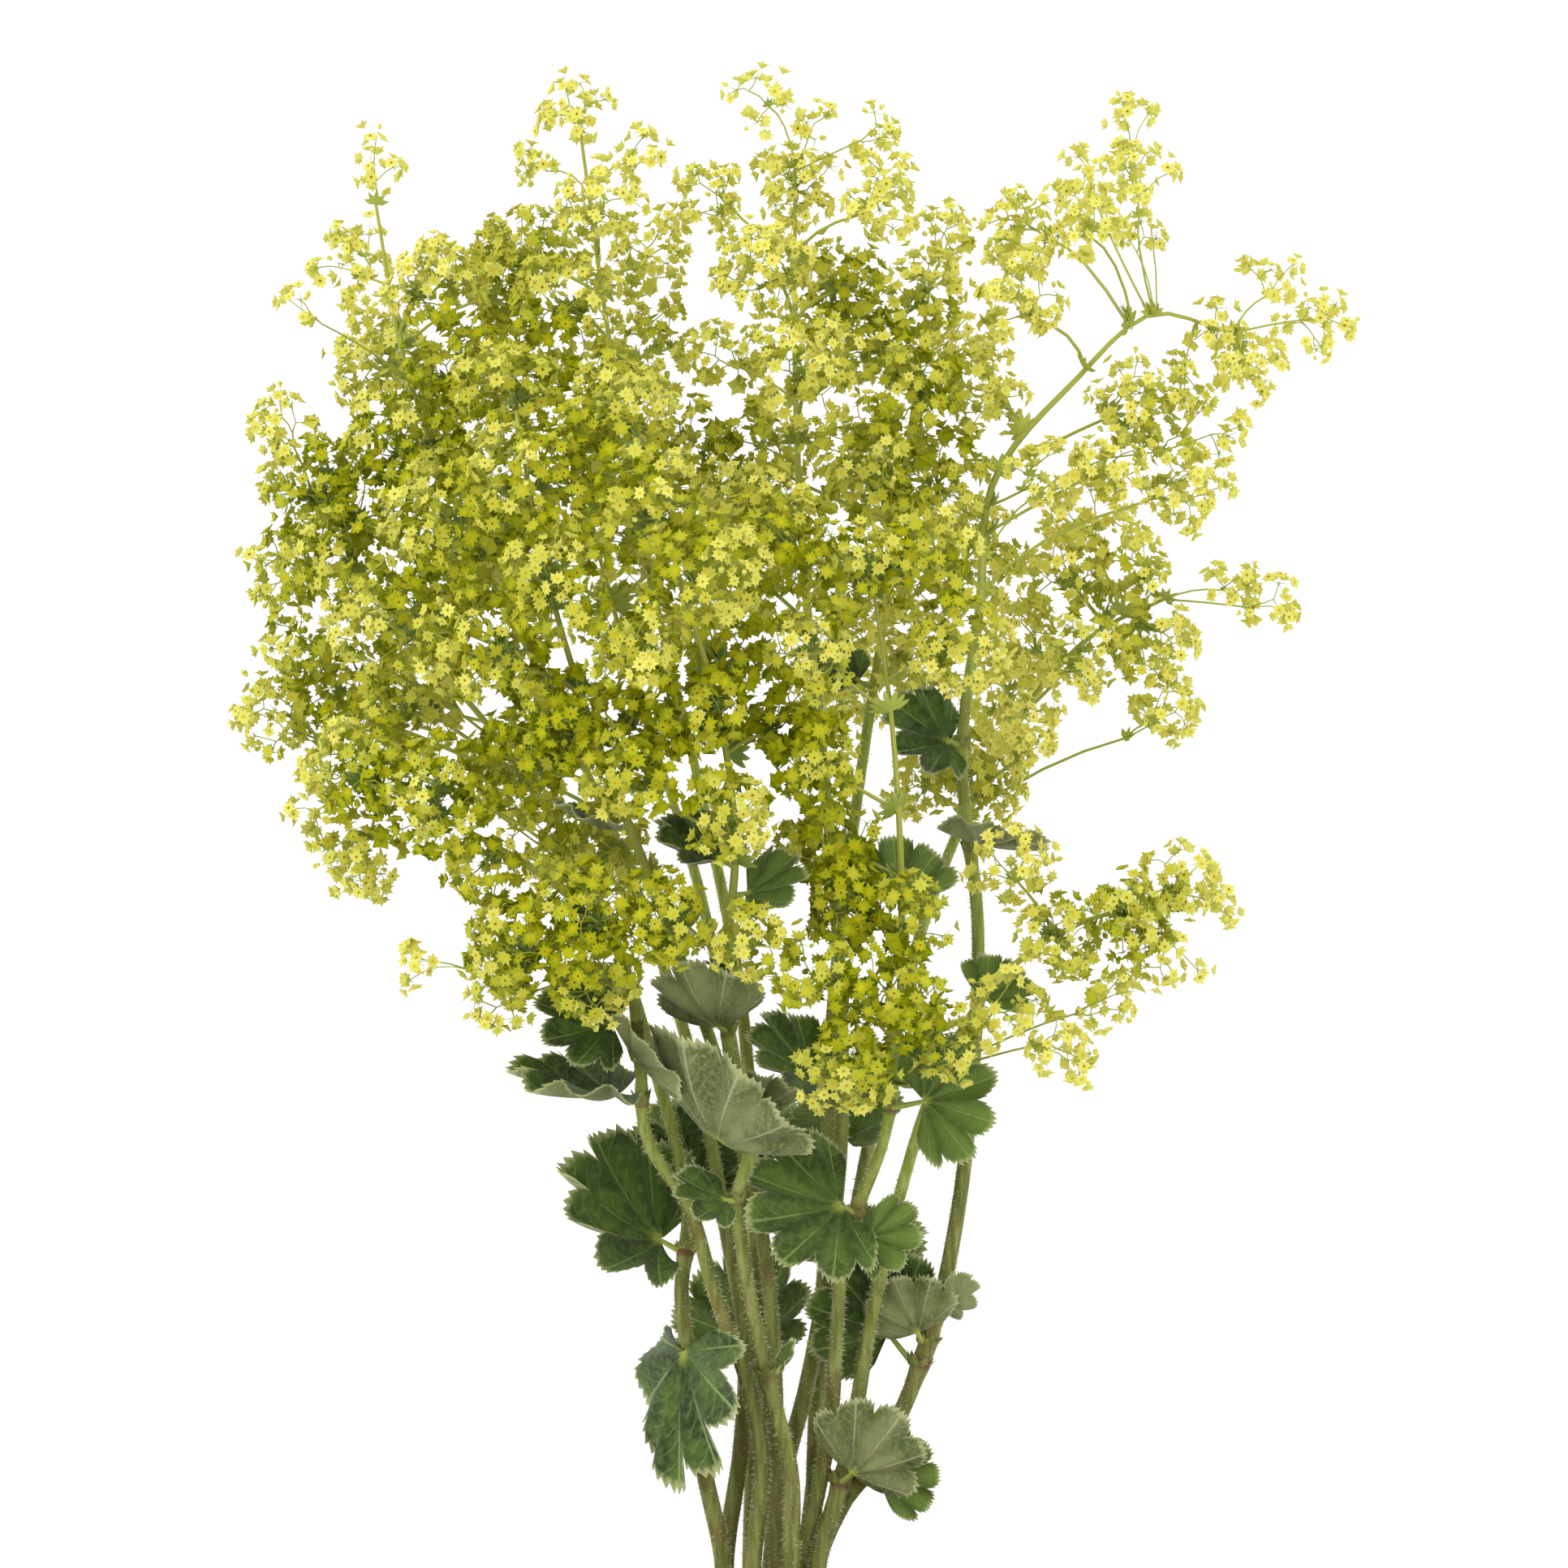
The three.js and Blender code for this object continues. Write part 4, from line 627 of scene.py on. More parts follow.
# A fork stands short of the middle of what it carries, by a share of the spread and within limits. Chance
# moves it. A twig is as thick as its load of clusters asks, and bows by chance and a little upwards. Short,
# long and thick ones differ in how finely they are made. From FULL_LOAD on, a twig is painted as thick.
FORK_SETBACK = 0.75
FORK_LIMITS = (0.3, 0.8)
TWIG_DRIFT = 0.05
TWIG_LIFT = 0.06
TWIG_POWER = 0.36
TWIG_TAPER = 0.8
SHORT_TWIG = 4
LONG_TWIG = 14
THICK_TWIG = 0.45
FULL_LOAD = 20

# The fork at a branch's root counts for some more clusters. A cluster faces away from its plume's middle and
# from the plant's, and a little upwards.
AXIS_SAMPLES = 120
ROOT_LOAD = 6
PLANT_MIDDLE = np.array([0.0, 0.0, 410.0])
PLUME_PULL = 0.9
PLANT_PULL = 0.4
SKY_PULL = 0.25

# The clusters that the others cover least have the finest florets. LEVEL_SHARES parts them into levels of
# detail. Of two covered alike, the one further out counts as the freer.
COVER_RADIUS = 7.0
COVER_GAP = 2
COVER_BLOCKS = 12
OUTER_BONUS = 0.01
LEVEL_SHARES = (0.13, 0.43, 0.74)

# Where the clusters stand thinly the florets are painted paler, painted light falling through them, and in
# the thick of the plant they are greener and darker, painted shade; those of the right side's sprays are
# painted paler still
CROWD_RADIUS = 22.0
OPEN_POWER = 1.3
PALER_SPRAYS = {10: 0.3, 11: 0.2, 12: 0.15}

# A cluster's florets: their number, the share of buds, the fan that their pedicels make, in degrees and
# radians, how chance moves them, how they turn outwards, and what paleness takes from their size and adds to
# their tone, from the greenest, painted shade, to the palest, painted light. Sizes and cups have a mean, a
# spread and limits. A pedicel ends under its floret, FLORET_DEPTH of the floret's size deep.
CLUSTER_FLORETS = (5, 9)
BUD_SHARE = 0.14
FAN_ANGLE = 105
FAN_TURN = 2.4
POLAR_DRIFT = 0.16
TURN_DRIFT = 0.3
LENGTH_DRIFT = 0.3
INNER_PEDICEL = 0.5
FACING = 0.5
FACING_DRIFT = 0.2
FACING_LIFT = 0.1
PALE_SHRINKING = 0.1
SIZES = (0.98, 0.1)
SIZE_LIMITS = (0.72, 1.15)
CUPS = (0.1, 0.17)
CUP_LIMITS = (-0.15, 0.6)
GREENEST = 0.18
PALE_TONE = 0.78
CLUSTER_TONE_DRIFT = 0.08
TONE_DRIFT = 0.07
FLORET_DEPTH = 0.4

# The spray's axis: the spacing and least number of its rings, its sides, and how it thins. Its bracts: the
# least load of a fork that has one, the load of a large one, how they lean, their size by load, and the tone
# that chance gives them and that paleness gives them as painted light.
AXIS_STEP = 6
AXIS_RINGS = 8
AXIS_SIDES = 7
AXIS_POWER = 0.8
FORK_BRACT = 5
LARGE_LOAD = 14
BRACT_LEAN = 0.55
BRACT_LIFT = 0.2
BRACT_TURN = 0.3
BRACT_FACE = 0.6
BRACT_SIZE = 2.1
BRACT_GROWTH = 0.21
BRACT_LIMITS = (2.4, 6.8)
BRACT_CHANCE = (0.8, 1.15)
BRACT_TONES = (0.4, 0.8)


def cluster_places(centre, radius, rng):
    """Places for the clusters of a plume, even all round and mostly near its outside."""
    fullness = min(1, radius / FULL_PLUME)
    off = (centre - HEART) / HEART_REACH
    fullness *= 1 + HEART_SHARE * math.exp(-off.dot(off))
    count = max(FEWEST_CLUSTERS, round(fullness * radius ** 2 / CLUSTER_AREA))
    low, high = CLUSTER_BAND
    chosen = np.zeros((0, 3))
    for _ in range(count):
        ways = directions(CLUSTER_TRIES, rng)
        tries = ways * radius * between(low, high, np.sqrt(rng.random((CLUSTER_TRIES, 1))))
        gaps = np.linalg.norm(tries[:, None] - chosen[None], axis=2)
        best = int(np.argmax(gaps.min(axis=1))) if len(chosen) else 0
        chosen = np.vstack([chosen, tries[best]])
    return centre + chosen


def branch_root(samples, centre):
    """The point of a spray's axis that the branch to a plume leaves from: near the plume, and below it."""
    level = np.linalg.norm(samples[:, :2] - centre[:2], axis=1)
    too_high = np.maximum(0, samples[:, 2] + BRANCH_RISE * level - centre[2])
    cost = np.linalg.norm(samples - centre, axis=1) + BRANCH_FALL_COST * too_high
    return samples[int(np.argmin(cost))]


def grow(start, ends, twigs, forks, rng):
    """Adds the twigs from start to all of ends: they run together, then part in two again and again."""
    if len(ends) == 1:
        twigs.append((start, ends[0], 1))
        return
    middle = ends.mean(axis=0)
    gap = middle - start
    reach = np.linalg.norm(gap)
    offsets = ends - middle
    spread = np.linalg.norm(offsets, axis=1).max()
    share = np.clip((reach - FORK_SETBACK * spread) / max(reach, TINY), *FORK_LIMITS)
    fork = start + gap * share + rng.normal(0, TWIG_DRIFT * reach, 3)
    twigs.append((start, fork, len(ends)))
    forks.append((fork, unit(gap), len(ends)))
    side = offsets @ np.linalg.svd(offsets, full_matrices=False)[2][0]
    upper = side > np.median(side) + TINY
    if upper.all() or not upper.any():
        upper = np.arange(len(ends)) % 2 == 0
    grow(fork, ends[upper], twigs, forks, rng)
    grow(fork, ends[~upper], twigs, forks, rng)


def twig_bodies(sheaf, twigs, rng):
    """Adds each twig as a slim body that bows a little, thicker where it carries more."""
    for start, end, carried in twigs:
        thick = TWIG_RADIUS * carried ** TWIG_POWER
        thin = max(TWIG_RADIUS, TWIG_TAPER * thick)
        gap = end - start
        reach = np.linalg.norm(gap)
        bow = rng.normal(0, TWIG_DRIFT * reach, 3) + [0, 0, TWIG_LIFT * reach]
        steps = 1 if reach < SHORT_TWIG else 2 if reach < LONG_TWIG else 4
        t = np.arange(steps + 1)[:, None] / steps
        centres = start + gap * t + 4 * bow * t * (1 - t)
        alongs = unit(np.gradient(centres, axis=0))
        sides = 5 if thick > THICK_TWIG else 3
        radii = between(thick, thin, t[:, 0])
        tube(sheaf, centres, alongs, radii, sides, [rng.random(), min(1, carried / FULL_LOAD), 0, 1])


def plan_spray(index):
    """The clusters, twigs and forks of one spray."""
    rng = np.random.default_rng(SEED + 100 * index)
    samples = CURVES[index].at(np.linspace(JUNCTIONS[index], 1, AXIS_SAMPLES))
    clusters = []
    twigs = []
    forks = []
    for *centre, radius in STEMS[index].plumes:
        centre = np.array(centre, float)
        ends = cluster_places(centre, radius, rng)
        root = branch_root(samples, centre)
        forks.append((root, unit(centre - root), len(ends) + ROOT_LOAD))
        grow(root, ends, twigs, forks, rng)
        outward = PLUME_PULL * unit(ends - centre) + PLANT_PULL * unit(centre - PLANT_MIDDLE)
        clusters.append(np.hstack([ends, unit(outward + [0, 0, SKY_PULL])]))
    return np.concatenate(clusters), twigs, forks


def cover_counts(clusters):
    """How many other clusters lie further out than each, over it."""
    places = clusters[:, :3]
    counts = []
    for block in np.array_split(np.arange(len(clusters)), COVER_BLOCKS):
        gaps = places[None] - places[block][:, None]
        outward = clusters[block][:, None, 3:]
        height = np.sum(gaps * outward, axis=2)
        wide = np.sum(gaps ** 2, axis=2) - height ** 2
        counts.append(np.sum((height > COVER_GAP) & (wide < COVER_RADIUS ** 2), axis=1))
    return np.concatenate(counts)


def cluster_levels(clusters):
    """The level of detail of each cluster's florets, from 0, the finest, to the inner level."""
    outer = np.linalg.norm(clusters[:, :3] - PLANT_MIDDLE, axis=1)
    score = cover_counts(clusters) - OUTER_BONUS * outer
    return np.searchsorted(np.quantile(score, LEVEL_SHARES), score, side="right")


def openness(clusters):
    """How thinly the clusters stand round each, by rank, from 0 in the thick of the plant to 1 alone."""
    places = clusters[:, :3]
    counts = [np.sum(np.linalg.norm(places - place, axis=1) < CROWD_RADIUS) for place in places]
    ranks = np.argsort(np.argsort(counts, kind="stable"), kind="stable")
    return (1 - ranks / len(ranks)) ** OPEN_POWER


def flower_cluster(place, outward, level, paleness, rng, made):
    """Plans the florets of a cluster, and gives the starts and ends of the pedicels that fan out to them."""
    count = int(rng.integers(*CLUSTER_FLORETS))
    turn = turns_to(outward[None], np.array([rng.random() * ANY_SPIN]))[0]
    k = np.arange(count) + 0.5
    polar = np.radians(FAN_ANGLE) * np.sqrt(k / count) + rng.normal(0, POLAR_DRIFT, count)
    around = FAN_TURN * k + rng.normal(0, TURN_DRIFT, count)
    fan = np.stack([np.sin(polar) * np.cos(around), np.sin(polar) * np.sin(around), np.cos(polar)], axis=1)
    ways = fan @ turn.T
    length = PEDICEL_LENGTH * np.exp(rng.normal(0, LENGTH_DRIFT, count))
    length = length * (INNER_PEDICEL if level == INNER_LEVEL else 1)
    places = place + ways * length[:, None]
    normals = ways + FACING * outward + rng.normal(0, FACING_DRIFT, (count, 3)) + [0, 0, FACING_LIFT]
    normals = unit(normals)
    sizes = FLORET_RADIUS * (1 - PALE_SHRINKING * paleness) * np.clip(rng.normal(*SIZES, count), *SIZE_LIMITS)
    buds = rng.random(count) < BUD_SHARE
    # The cluster's tone is painted shade, greener, in the thick of the plant and painted light, paler, where
    # it stands alone, moved by chance
    cluster_tone = rng.normal(GREENEST + PALE_TONE * paleness, CLUSTER_TONE_DRIFT)
    tones = np.clip(cluster_tone + rng.normal(0, TONE_DRIFT, count), 0, 1)
    cups = np.clip(rng.normal(*CUPS, count), *CUP_LIMITS)
    made.append((places, normals, sizes, tones, cups, np.where(buds, BUD, level)))
    return np.repeat(place[None], count, axis=0), places - normals * (FLORET_DEPTH * sizes)[:, None]


def dress_spray(index, clusters, levels, pale, twigs, forks, materials):
    """Makes one spray's florets, twigs and bracts."""
    rng = np.random.default_rng(SEED + 100 * index + 50)
    node = f"spray_{index + 1:02d}"
    made = []
    pedicels = []
    for cluster, level, paleness in zip(clusters, levels, pale):
        ends = flower_cluster(cluster[:3], cluster[3:], level, paleness, rng, made)
        if level < INNER_LEVEL:
            pedicels.append(ends)
    places, normals, sizes, tones, cups, kinds = (np.concatenate(part) for part in zip(*made))
    florets = Sheaf()
    for kind, form in enumerate(FLORET_FORMS):
        mask = kinds == kind
        if mask.any():
            turns = turns_to(normals[mask], rng.random(mask.sum()) * FULL_TURN)
            copies(florets, form, places[mask], turns, sizes[mask], tones[mask], cups[mask])
    florets.piece(f"{node}_florets", materials["floret"], "floret", [node])

    wood = Sheaf()
    starts, ends = (np.concatenate(part) for part in zip(*pedicels))
    paint = np.tile([0.5, 0.0, 0.0, 1.0], (len(starts), 1))
    paint[:, 0] = rng.random(len(starts))
    spikes(wood, starts, ends, PEDICEL_RADIUS, paint)
    twig_bodies(wood, twigs, rng)
    curve, junction = CURVES[index], JUNCTIONS[index]
    rings = max(AXIS_RINGS, round((1 - junction) * curve.length / AXIS_STEP))
    shares = np.linspace(junction, 1, rings)
    part = (shares - junction) / (1 - junction)
    radii = between(STEM_TOP_RADIUS, AXIS_TIP_RADIUS, part ** AXIS_POWER)
    tube(wood, curve.at(shares), curve.along(shares), radii, AXIS_SIDES, [0.5, 1, 0, 1])
    wood.piece(f"{node}_twigs", materials["twig"], "stem", [node])

    bracts = Sheaf()
    for form, wanted in ((LARGE_BRACT, True), (SMALL_BRACT, False)):
        chosen = [f for f in forks if f[2] >= FORK_BRACT and (f[2] > LARGE_LOAD) == wanted]
        if not chosen:
            continue
        spots, gaps, carried = (np.array(part) for part in zip(*chosen))
        count = len(spots)
        alongs = unit(gaps + BRACT_LEAN * directions(count, rng) + [0, 0, BRACT_LIFT])
        ups = unit(gaps + BRACT_TURN * directions(count, rng) + [0, 0, BRACT_FACE])
        sizes = np.clip(BRACT_SIZE + BRACT_GROWTH * carried, *BRACT_LIMITS)
        sizes = sizes * rng.uniform(*BRACT_CHANCE, count)
        frames = frames_along(alongs, np.cross(alongs, np.cross(ups, alongs)) + NUDGE)
        nearest = [np.argmin(np.linalg.norm(clusters[:, :3] - spot, axis=1)) for spot in spots]
        # A bract is painted paler, as painted light, near pale florets, and its tone has a random part too
        tones = np.clip(BRACT_TONES[0] * rng.random(count) + BRACT_TONES[1] * pale[nearest], 0, 1)
        copies(bracts, form, spots, frames, sizes, tones)
    bracts.piece(f"{node}_bracts", materials["bract"], "leaf", [node])


# The stems: the spacing of their rings, their sides, how far and by what share they swell at a node, and how
# deep the hairs stand and how they lean. Then the collar at a node: its teeth, the reach, in stem radii, and
# the height of its loops, and the heights of its top and bottom.
STEM_RING_STEP = 3.5
STEM_SIDES = 12
SWELLING_REACH = 3.0
SWELLING = 0.28
HAIR_DEPTH = 0.1
HAIR_DRIFT = 0.22
HAIR_DROOP = 0.15
STEM_HAIR_LENGTHS = (0.6, 1.15)
COLLAR_TEETH = 7
COLLAR_TIP = (1.9, 3.2)
COLLAR_NOTCH = (1.5, 1.3)
COLLAR_INSIDE = (1.25, 0.9)
COLLAR_OUTSIDE = (1.32, -0.4)
COLLAR_ENDS = (0.5, -2.0)


def dress_stem(index, materials):
    """Makes one stem with its swollen nodes and toothed collars, and its hairs."""
    rng = np.random.default_rng(STEM_SEED + index)
    node = f"stem_{index + 1:02d}"
    curve, junction = CURVES[index], JUNCTIONS[index]
    collar = curve.share_at_height(COLLAR_HEIGHT)
    length = (junction - collar) * curve.length
    shares = np.concatenate([[0], np.linspace(collar, junction, round(length / STEM_RING_STEP))])
    centres = curve.at(shares)
    part = np.clip((shares - collar) / (junction - collar), 0, 1)
    radii = between(STEM_FOOT_RADIUS, STEM_TOP_RADIUS, part)
    heights = [leaf.height for leaf in LEAVES if leaf.stem == index + 1]
    swelling = np.zeros(len(shares))
    for height in heights:
        swelling = np.maximum(swelling, np.exp(-(((centres[:, 2] - height) / SWELLING_REACH) ** 2)))
    paint = np.stack([np.full(len(shares), rng.random()), part, swelling, np.ones(len(shares))], axis=1)
    body = Sheaf()
    tube(body, centres, curve.along(shares), radii * (1 + SWELLING * swelling), STEM_SIDES, paint)
    for height in heights:
        if height < STEMS[index].junction:
            node_collar(body, index, height, rng)
    body.piece(f"{node}_fine", materials["stem"], "stem", [node])

    count = round(STEM_HAIRS_PER_MM * length)
    part = np.sort(rng.random(count))
    shares = between(collar, junction, part)
    ways = curve.along(shares)
    around = unit(np.cross(ways, directions(count, rng)))
    deep = between(STEM_FOOT_RADIUS, STEM_TOP_RADIUS, part) - HAIR_DEPTH
    roots = curve.at(shares) + around * deep[:, None]
    lean = unit(around + rng.normal(0, HAIR_DRIFT, (count, 3)) - HAIR_DROOP * ways)
    tips = roots + lean * (STEM_HAIR * rng.uniform(*STEM_HAIR_LENGTHS, count))[:, None]
    hairs = Sheaf()
    spikes(hairs, roots, tips, HAIR_RADIUS, [0.5, 0, 0, 1])
    hairs.piece(f"{node}_hairs", materials["hair"], "stem", [node])


def node_collar(sheaf, index, height, rng):
    """A small toothed sheath round the stem where a leaf leaves it."""
    centre, radius, up = ring_at(RINGS[index], height)
    turn = turns_to(up[None], np.array([rng.random() * ANY_SPIN]))[0]
    tip, notch, inside, outside = (
        (reach * radius, rise) for reach, rise in (COLLAR_TIP, COLLAR_NOTCH, COLLAR_INSIDE, COLLAR_OUTSIDE)
    )
    edge = toothed_loop(COLLAR_TEETH, tip, notch)
    loops = [loop(*inside, COLLAR_TEETH), edge, loop(*outside, COLLAR_TEETH)]
    top, bottom = COLLAR_ENDS
    points, triangles = turned([0, 0, top], loops, [0, 0, bottom])
    paint = np.tile([0.7, 0.5, 0.55, 1.0], (len(points), 1))
    sheaf.add(points @ turn.T + centre, triangles, paint)


# The leaves. Each row of a blade's points has a share of the way out and a number of points to a lobe. Past
# them is the toothed edge, with two points to a tooth. Heights are shares of the midline's length, and a wave
# has a height and a beat. At VEIN_END the veins end and the blade gets thinner. LEAF_TONE is a leaf's tone,
# the painted light that its heading adds, and how far chance moves it.
LEAF_ROWS = ((0.1, 2), (0.26, 4), (0.45, 4), (0.64, 8), (0.8, 8), (0.92, 8))
LOBE_POWERS = (2.3, 0.7)
BASAL_BAND = (0.37, 0.5)
FAN_REACH = 0.93
LOBED_BAND = (0.45, 1.0)
TEETH = 9
TOOTH = 0.045
TOOTH_LEAN = 0.4
TOOTH_LENGTHS = (0.7, 1.2)
TOOTH_NOTCH = -0.2
FOLD_BAND = (0.12, 1.0)
WAVES = ((0.034, 5), (0.018, 11))
VEIN_DEPTH = 0.008
VEIN_WIDTH = 0.16
VEIN_END = 0.97
THIN_EDGE = 0.6
LEAF_TONE = (0.45, 0.35, 0.2)

# A leaf's stalk: how far its ends reach into the stem and the blade, the angle, in radians, that the blade's
# first points make with its midline, the stalk's radii, the share of it where it bends, its rings and sides.
# Then how the hairs of the edge lean, their shares of the full length, and how deep they stand.
STALK_IN_STEM = 0.6
STALK_IN_BLADE = 0.8
BLADE_FOOT = 1.6
STALK_RADII = (0.95, 0.6)
STALK_BEND = 0.55
STALK_RINGS = 6
STALK_SIDES = 8
LEAF_HAIR_DRIFT = 0.25
LEAF_HAIR_LENGTHS = (0.6, 1.2)
LEAF_HAIR_ROOT = 0.15


def leaf_axes(aim):
    """The directions of a leaf: along its midline, across it, and out of its upper face."""
    h, p, r = np.radians(aim)
    along = np.array([math.cos(h) * math.cos(p), math.sin(h) * math.cos(p), math.sin(p)])
    left = np.array([-math.sin(h), math.cos(h), 0.0])
    face = np.cross(along, left) * math.cos(r) + left * math.sin(r)
    return along, np.cross(face, along), face


def leaf_seat(leaf, aim):
    """Where a leaf and its blade start, the direction of its stalk, and the one straight out of its stem."""
    centre, radius, up = ring_at(RINGS[leaf.stem - 1], leaf.height)
    angle = math.radians(leaf.leaving)
    radial = np.array(spoke(1, angle, 0))
    radial = unit(radial - up * radial.dot(up))
    outward = unit(radial + STALK_RISE * up)
    root = centre + radial * (radius + SEAT_GAP)
    along = leaf_axes(aim)[0]
    return root, root + outward * leaf.stalk + along * STALK_HALF_WIDTH, outward, radial


def solid_box(leaf, aim):
    """The box of the leaf's solid in a pose, from its blade's edge."""
    along, across, face = leaf_axes(aim)
    base = leaf_seat(leaf, aim)[1]
    spread = BLADE_SPREAD[leaf.lobes]
    step = spread / leaf.lobes
    points = []
    for i in range(leaf.lobes):
        middle = (i - (leaf.lobes - 1) / 2) * step
        reach = 1 - BLADE_NARROWING * (2 * middle / spread) ** 2
        notch = BLADE_BASE if i == 0 else BLADE_NOTCH
        points.append((middle - step / 2, notch * reach, 1))
        points.append((middle - BLADE_SHOULDER * step, reach, FOLD_FLOOR))
        points.append((middle + BLADE_SHOULDER * step, reach, FOLD_FLOOR))
    points.append((spread / 2, points[0][1], 1))
    corners = []
    for angle, reach, fold in points:
        length = reach * leaf.size
        a = math.radians(angle)
        spot = base + length * (along * math.cos(a) + across * math.sin(a))
        corners.append(spot + face * (leaf.cup + PLEAT * fold) * length)
    corners = np.array(corners)
    lift = np.abs(face) * BLADE_THICKNESS / 2
    return np.array([corners.min(axis=0) - lift, corners.max(axis=0) + lift])


def settled_aim(leaf, node):
    """The leaf's aim once turned clear of its neighbours: the turn whose box is nearest to the solid's."""
    wanted = np.array(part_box(node)) / MM
    heading, pitch, roll = leaf.aim
    best = None
    least = math.inf
    for amount in TURNS:
        for k in range(TURN_WAYS if amount else 1):
            a = k * FULL_TURN / TURN_WAYS
            for twist in ((0, -amount, amount) if amount else (0,)):
                aim = (heading + amount * math.cos(a), pitch + amount * math.sin(a), roll + twist)
                miss = np.abs(solid_box(leaf, aim) - wanted).sum()
                if miss < least:
                    least = miss
                    best = aim
    return best


def edge_reach(lobe, angle, spread):
    """How far the edge reaches, as a share of the midline, and how far it would without the lobes."""
    outer, inner = LOBE_POWERS
    rounded = BLADE_NOTCH + (1 - BLADE_NOTCH) * np.maximum(0, 1 - np.abs(lobe) ** outer) ** inner
    basal = 1 - (1 - BLADE_BASE / BLADE_NOTCH) * smooth_step(*BASAL_BAND, np.abs(angle) / spread)
    fan = (1 - BLADE_NARROWING * (2 * angle / spread) ** 2) * basal
    return rounded * fan, FAN_REACH * fan


def blade_row(lobes, spread, per_lobe, shift=0):
    """Angles, and places across their lobes from -1 to 1, of a row of points with so many to a lobe."""
    spots = np.arange(lobes * per_lobe + 1) / per_lobe
    number = np.minimum(spots.astype(int), lobes - 1)
    lobe = 2 * (spots - number) - 1 + shift
    return (number + (lobe + 1) / 2) * spread / lobes - spread / 2, lobe


def blade_rows(leaf, rng):
    """The blade's rows of points: angle, distance, place across the lobe, and share of the way out."""
    lobes, size = leaf.lobes, leaf.size
    spread = math.radians(BLADE_SPREAD[lobes])
    rows = []
    for share, per_lobe in LEAF_ROWS:
        angle, lobe = blade_row(lobes, spread, per_lobe)
        edge, fan = edge_reach(lobe, angle, spread)
        mixed = between(fan, edge, smooth_step(*LOBED_BAND, share))
        rows.append(np.stack([angle, share * mixed * size, lobe, np.full(len(angle), share)], axis=1))
    count = lobes * 2 * TEETH + 1
    tip = np.arange(count) % 2
    lobe = blade_row(lobes, spread, 2 * TEETH)[1]
    lean = tip * np.sign(lobe) * np.minimum(1, np.abs(lobe) * TEETH) * -TOOTH_LEAN / TEETH
    angle, lobe = blade_row(lobes, spread, 2 * TEETH, lean)
    edge = edge_reach(lobe, angle, spread)[0]
    tooth = TOOTH * np.where(tip, rng.uniform(*TOOTH_LENGTHS, count), TOOTH_NOTCH)
    rows.append(np.stack([angle, (edge + tooth) * size, lobe, np.ones(count)], axis=1))
    return rows


def dress_leaf(number, leaf, materials):
    """Makes one leaf: its pleated, toothed blade, its stalk, and the hairs along its edge."""
    rng = np.random.default_rng(LEAF_SEED + number)
    name = f"leaf_{number:02d}"
    aim = settled_aim(leaf, name)
    along, across, face = leaf_axes(aim)
    root, base, outward, radial = leaf_seat(leaf, aim)
    phases = rng.random(3)[:len(WAVES)] * ANY_SPIN
    rows = [np.array([[-BLADE_FOOT, STALK_HALF_WIDTH, -1, 0.0], [BLADE_FOOT, STALK_HALF_WIDTH, 1, 0.0]])]
    rows += blade_rows(leaf, rng)
    angle, distance, lobe, share = np.concatenate(rows).T
    fold = FOLD_FLOOR + (1 - FOLD_FLOOR) * smooth_step(*FOLD_BAND, np.abs(lobe))
    wave = sum(height * np.sin(beat * angle + phase) for (height, beat), phase in zip(WAVES, phases))
    vein = -VEIN_DEPTH * np.exp(-((lobe / VEIN_WIDTH) ** 2)) * (share < VEIN_END)
    rise = leaf.cup * distance * share + PLEAT * fold * distance + (wave * share ** 2 + vein) * leaf.size
    flat = base + np.outer(distance * np.cos(angle), along) + np.outer(distance * np.sin(angle), across)
    middle = flat + np.outer(rise, face)
    half = np.outer(FINE_BLADE / 2 * np.where(share > VEIN_END, THIN_EDGE, 1.0), face)

    count = len(middle)
    numbers = row_numbers(rows, 0)
    top = []
    for first, second in zip(numbers, numbers[1:]):
        top += stitch(first, second)
    rim = [row[0] for row in numbers[:-1]] + numbers[-1] + [row[-1] for row in reversed(numbers[:-1])]
    sides = []
    for a, b in zip(rim, rim[1:] + rim[:1]):
        sides += [[a, a + count, b + count], [a, b + count, b]]
    under = [[a + count, c + count, b + count] for a, b, c in top]
    # A leaf's heading adds painted light to its tone: those that head towards +X are painted lighter
    tone, sunlit, chance = LEAF_TONE
    tone += sunlit * math.cos(math.radians(aim[0])) + rng.uniform(-chance, chance)
    paint = np.stack([np.full(count, tone), np.abs(lobe), share, np.ones(count)], axis=1)
    body = Sheaf()
    body.add(np.concatenate([middle + half, middle - half]), top + sides + under,
             np.concatenate([paint, paint * [1, 1, 1, 0]]))

    reach = np.linspace(0, 1, STALK_RINGS)[:, None]
    start = root - radial * (SEAT_GAP + STALK_IN_STEM)
    bend = root + outward * STALK_BEND * leaf.stalk
    finish = base + along * STALK_IN_BLADE
    centres = start * (1 - reach) ** 2 + 2 * bend * reach * (1 - reach) + finish * reach ** 2
    radii = np.linspace(*STALK_RADII, STALK_RINGS)
    tube(body, centres, unit(np.gradient(centres, axis=0)), radii, STALK_SIDES, [tone, 0.0, 0.03, 0.5])
    body.piece(f"{name}_fine", materials["leaf"], "leaf", [name])

    spots = middle[numbers[-1]]
    part = rng.random((LEAF_HAIRS, 1))
    pick = rng.integers(0, len(spots) - 1, LEAF_HAIRS)
    roots = spots[pick] * (1 - part) + spots[pick + 1] * part
    ways = unit(unit(roots - base) + rng.normal(0, LEAF_HAIR_DRIFT, (LEAF_HAIRS, 3)))
    tips = roots + ways * (LEAF_HAIR * rng.uniform(*LEAF_HAIR_LENGTHS, (LEAF_HAIRS, 1)))
    hairs = Sheaf()
    spikes(hairs, roots - ways * LEAF_HAIR_ROOT, tips, HAIR_RADIUS, [0.5, 0, 0, 1])
    hairs.piece(f"{name}_hairs", materials["hair"], "leaf", [name])


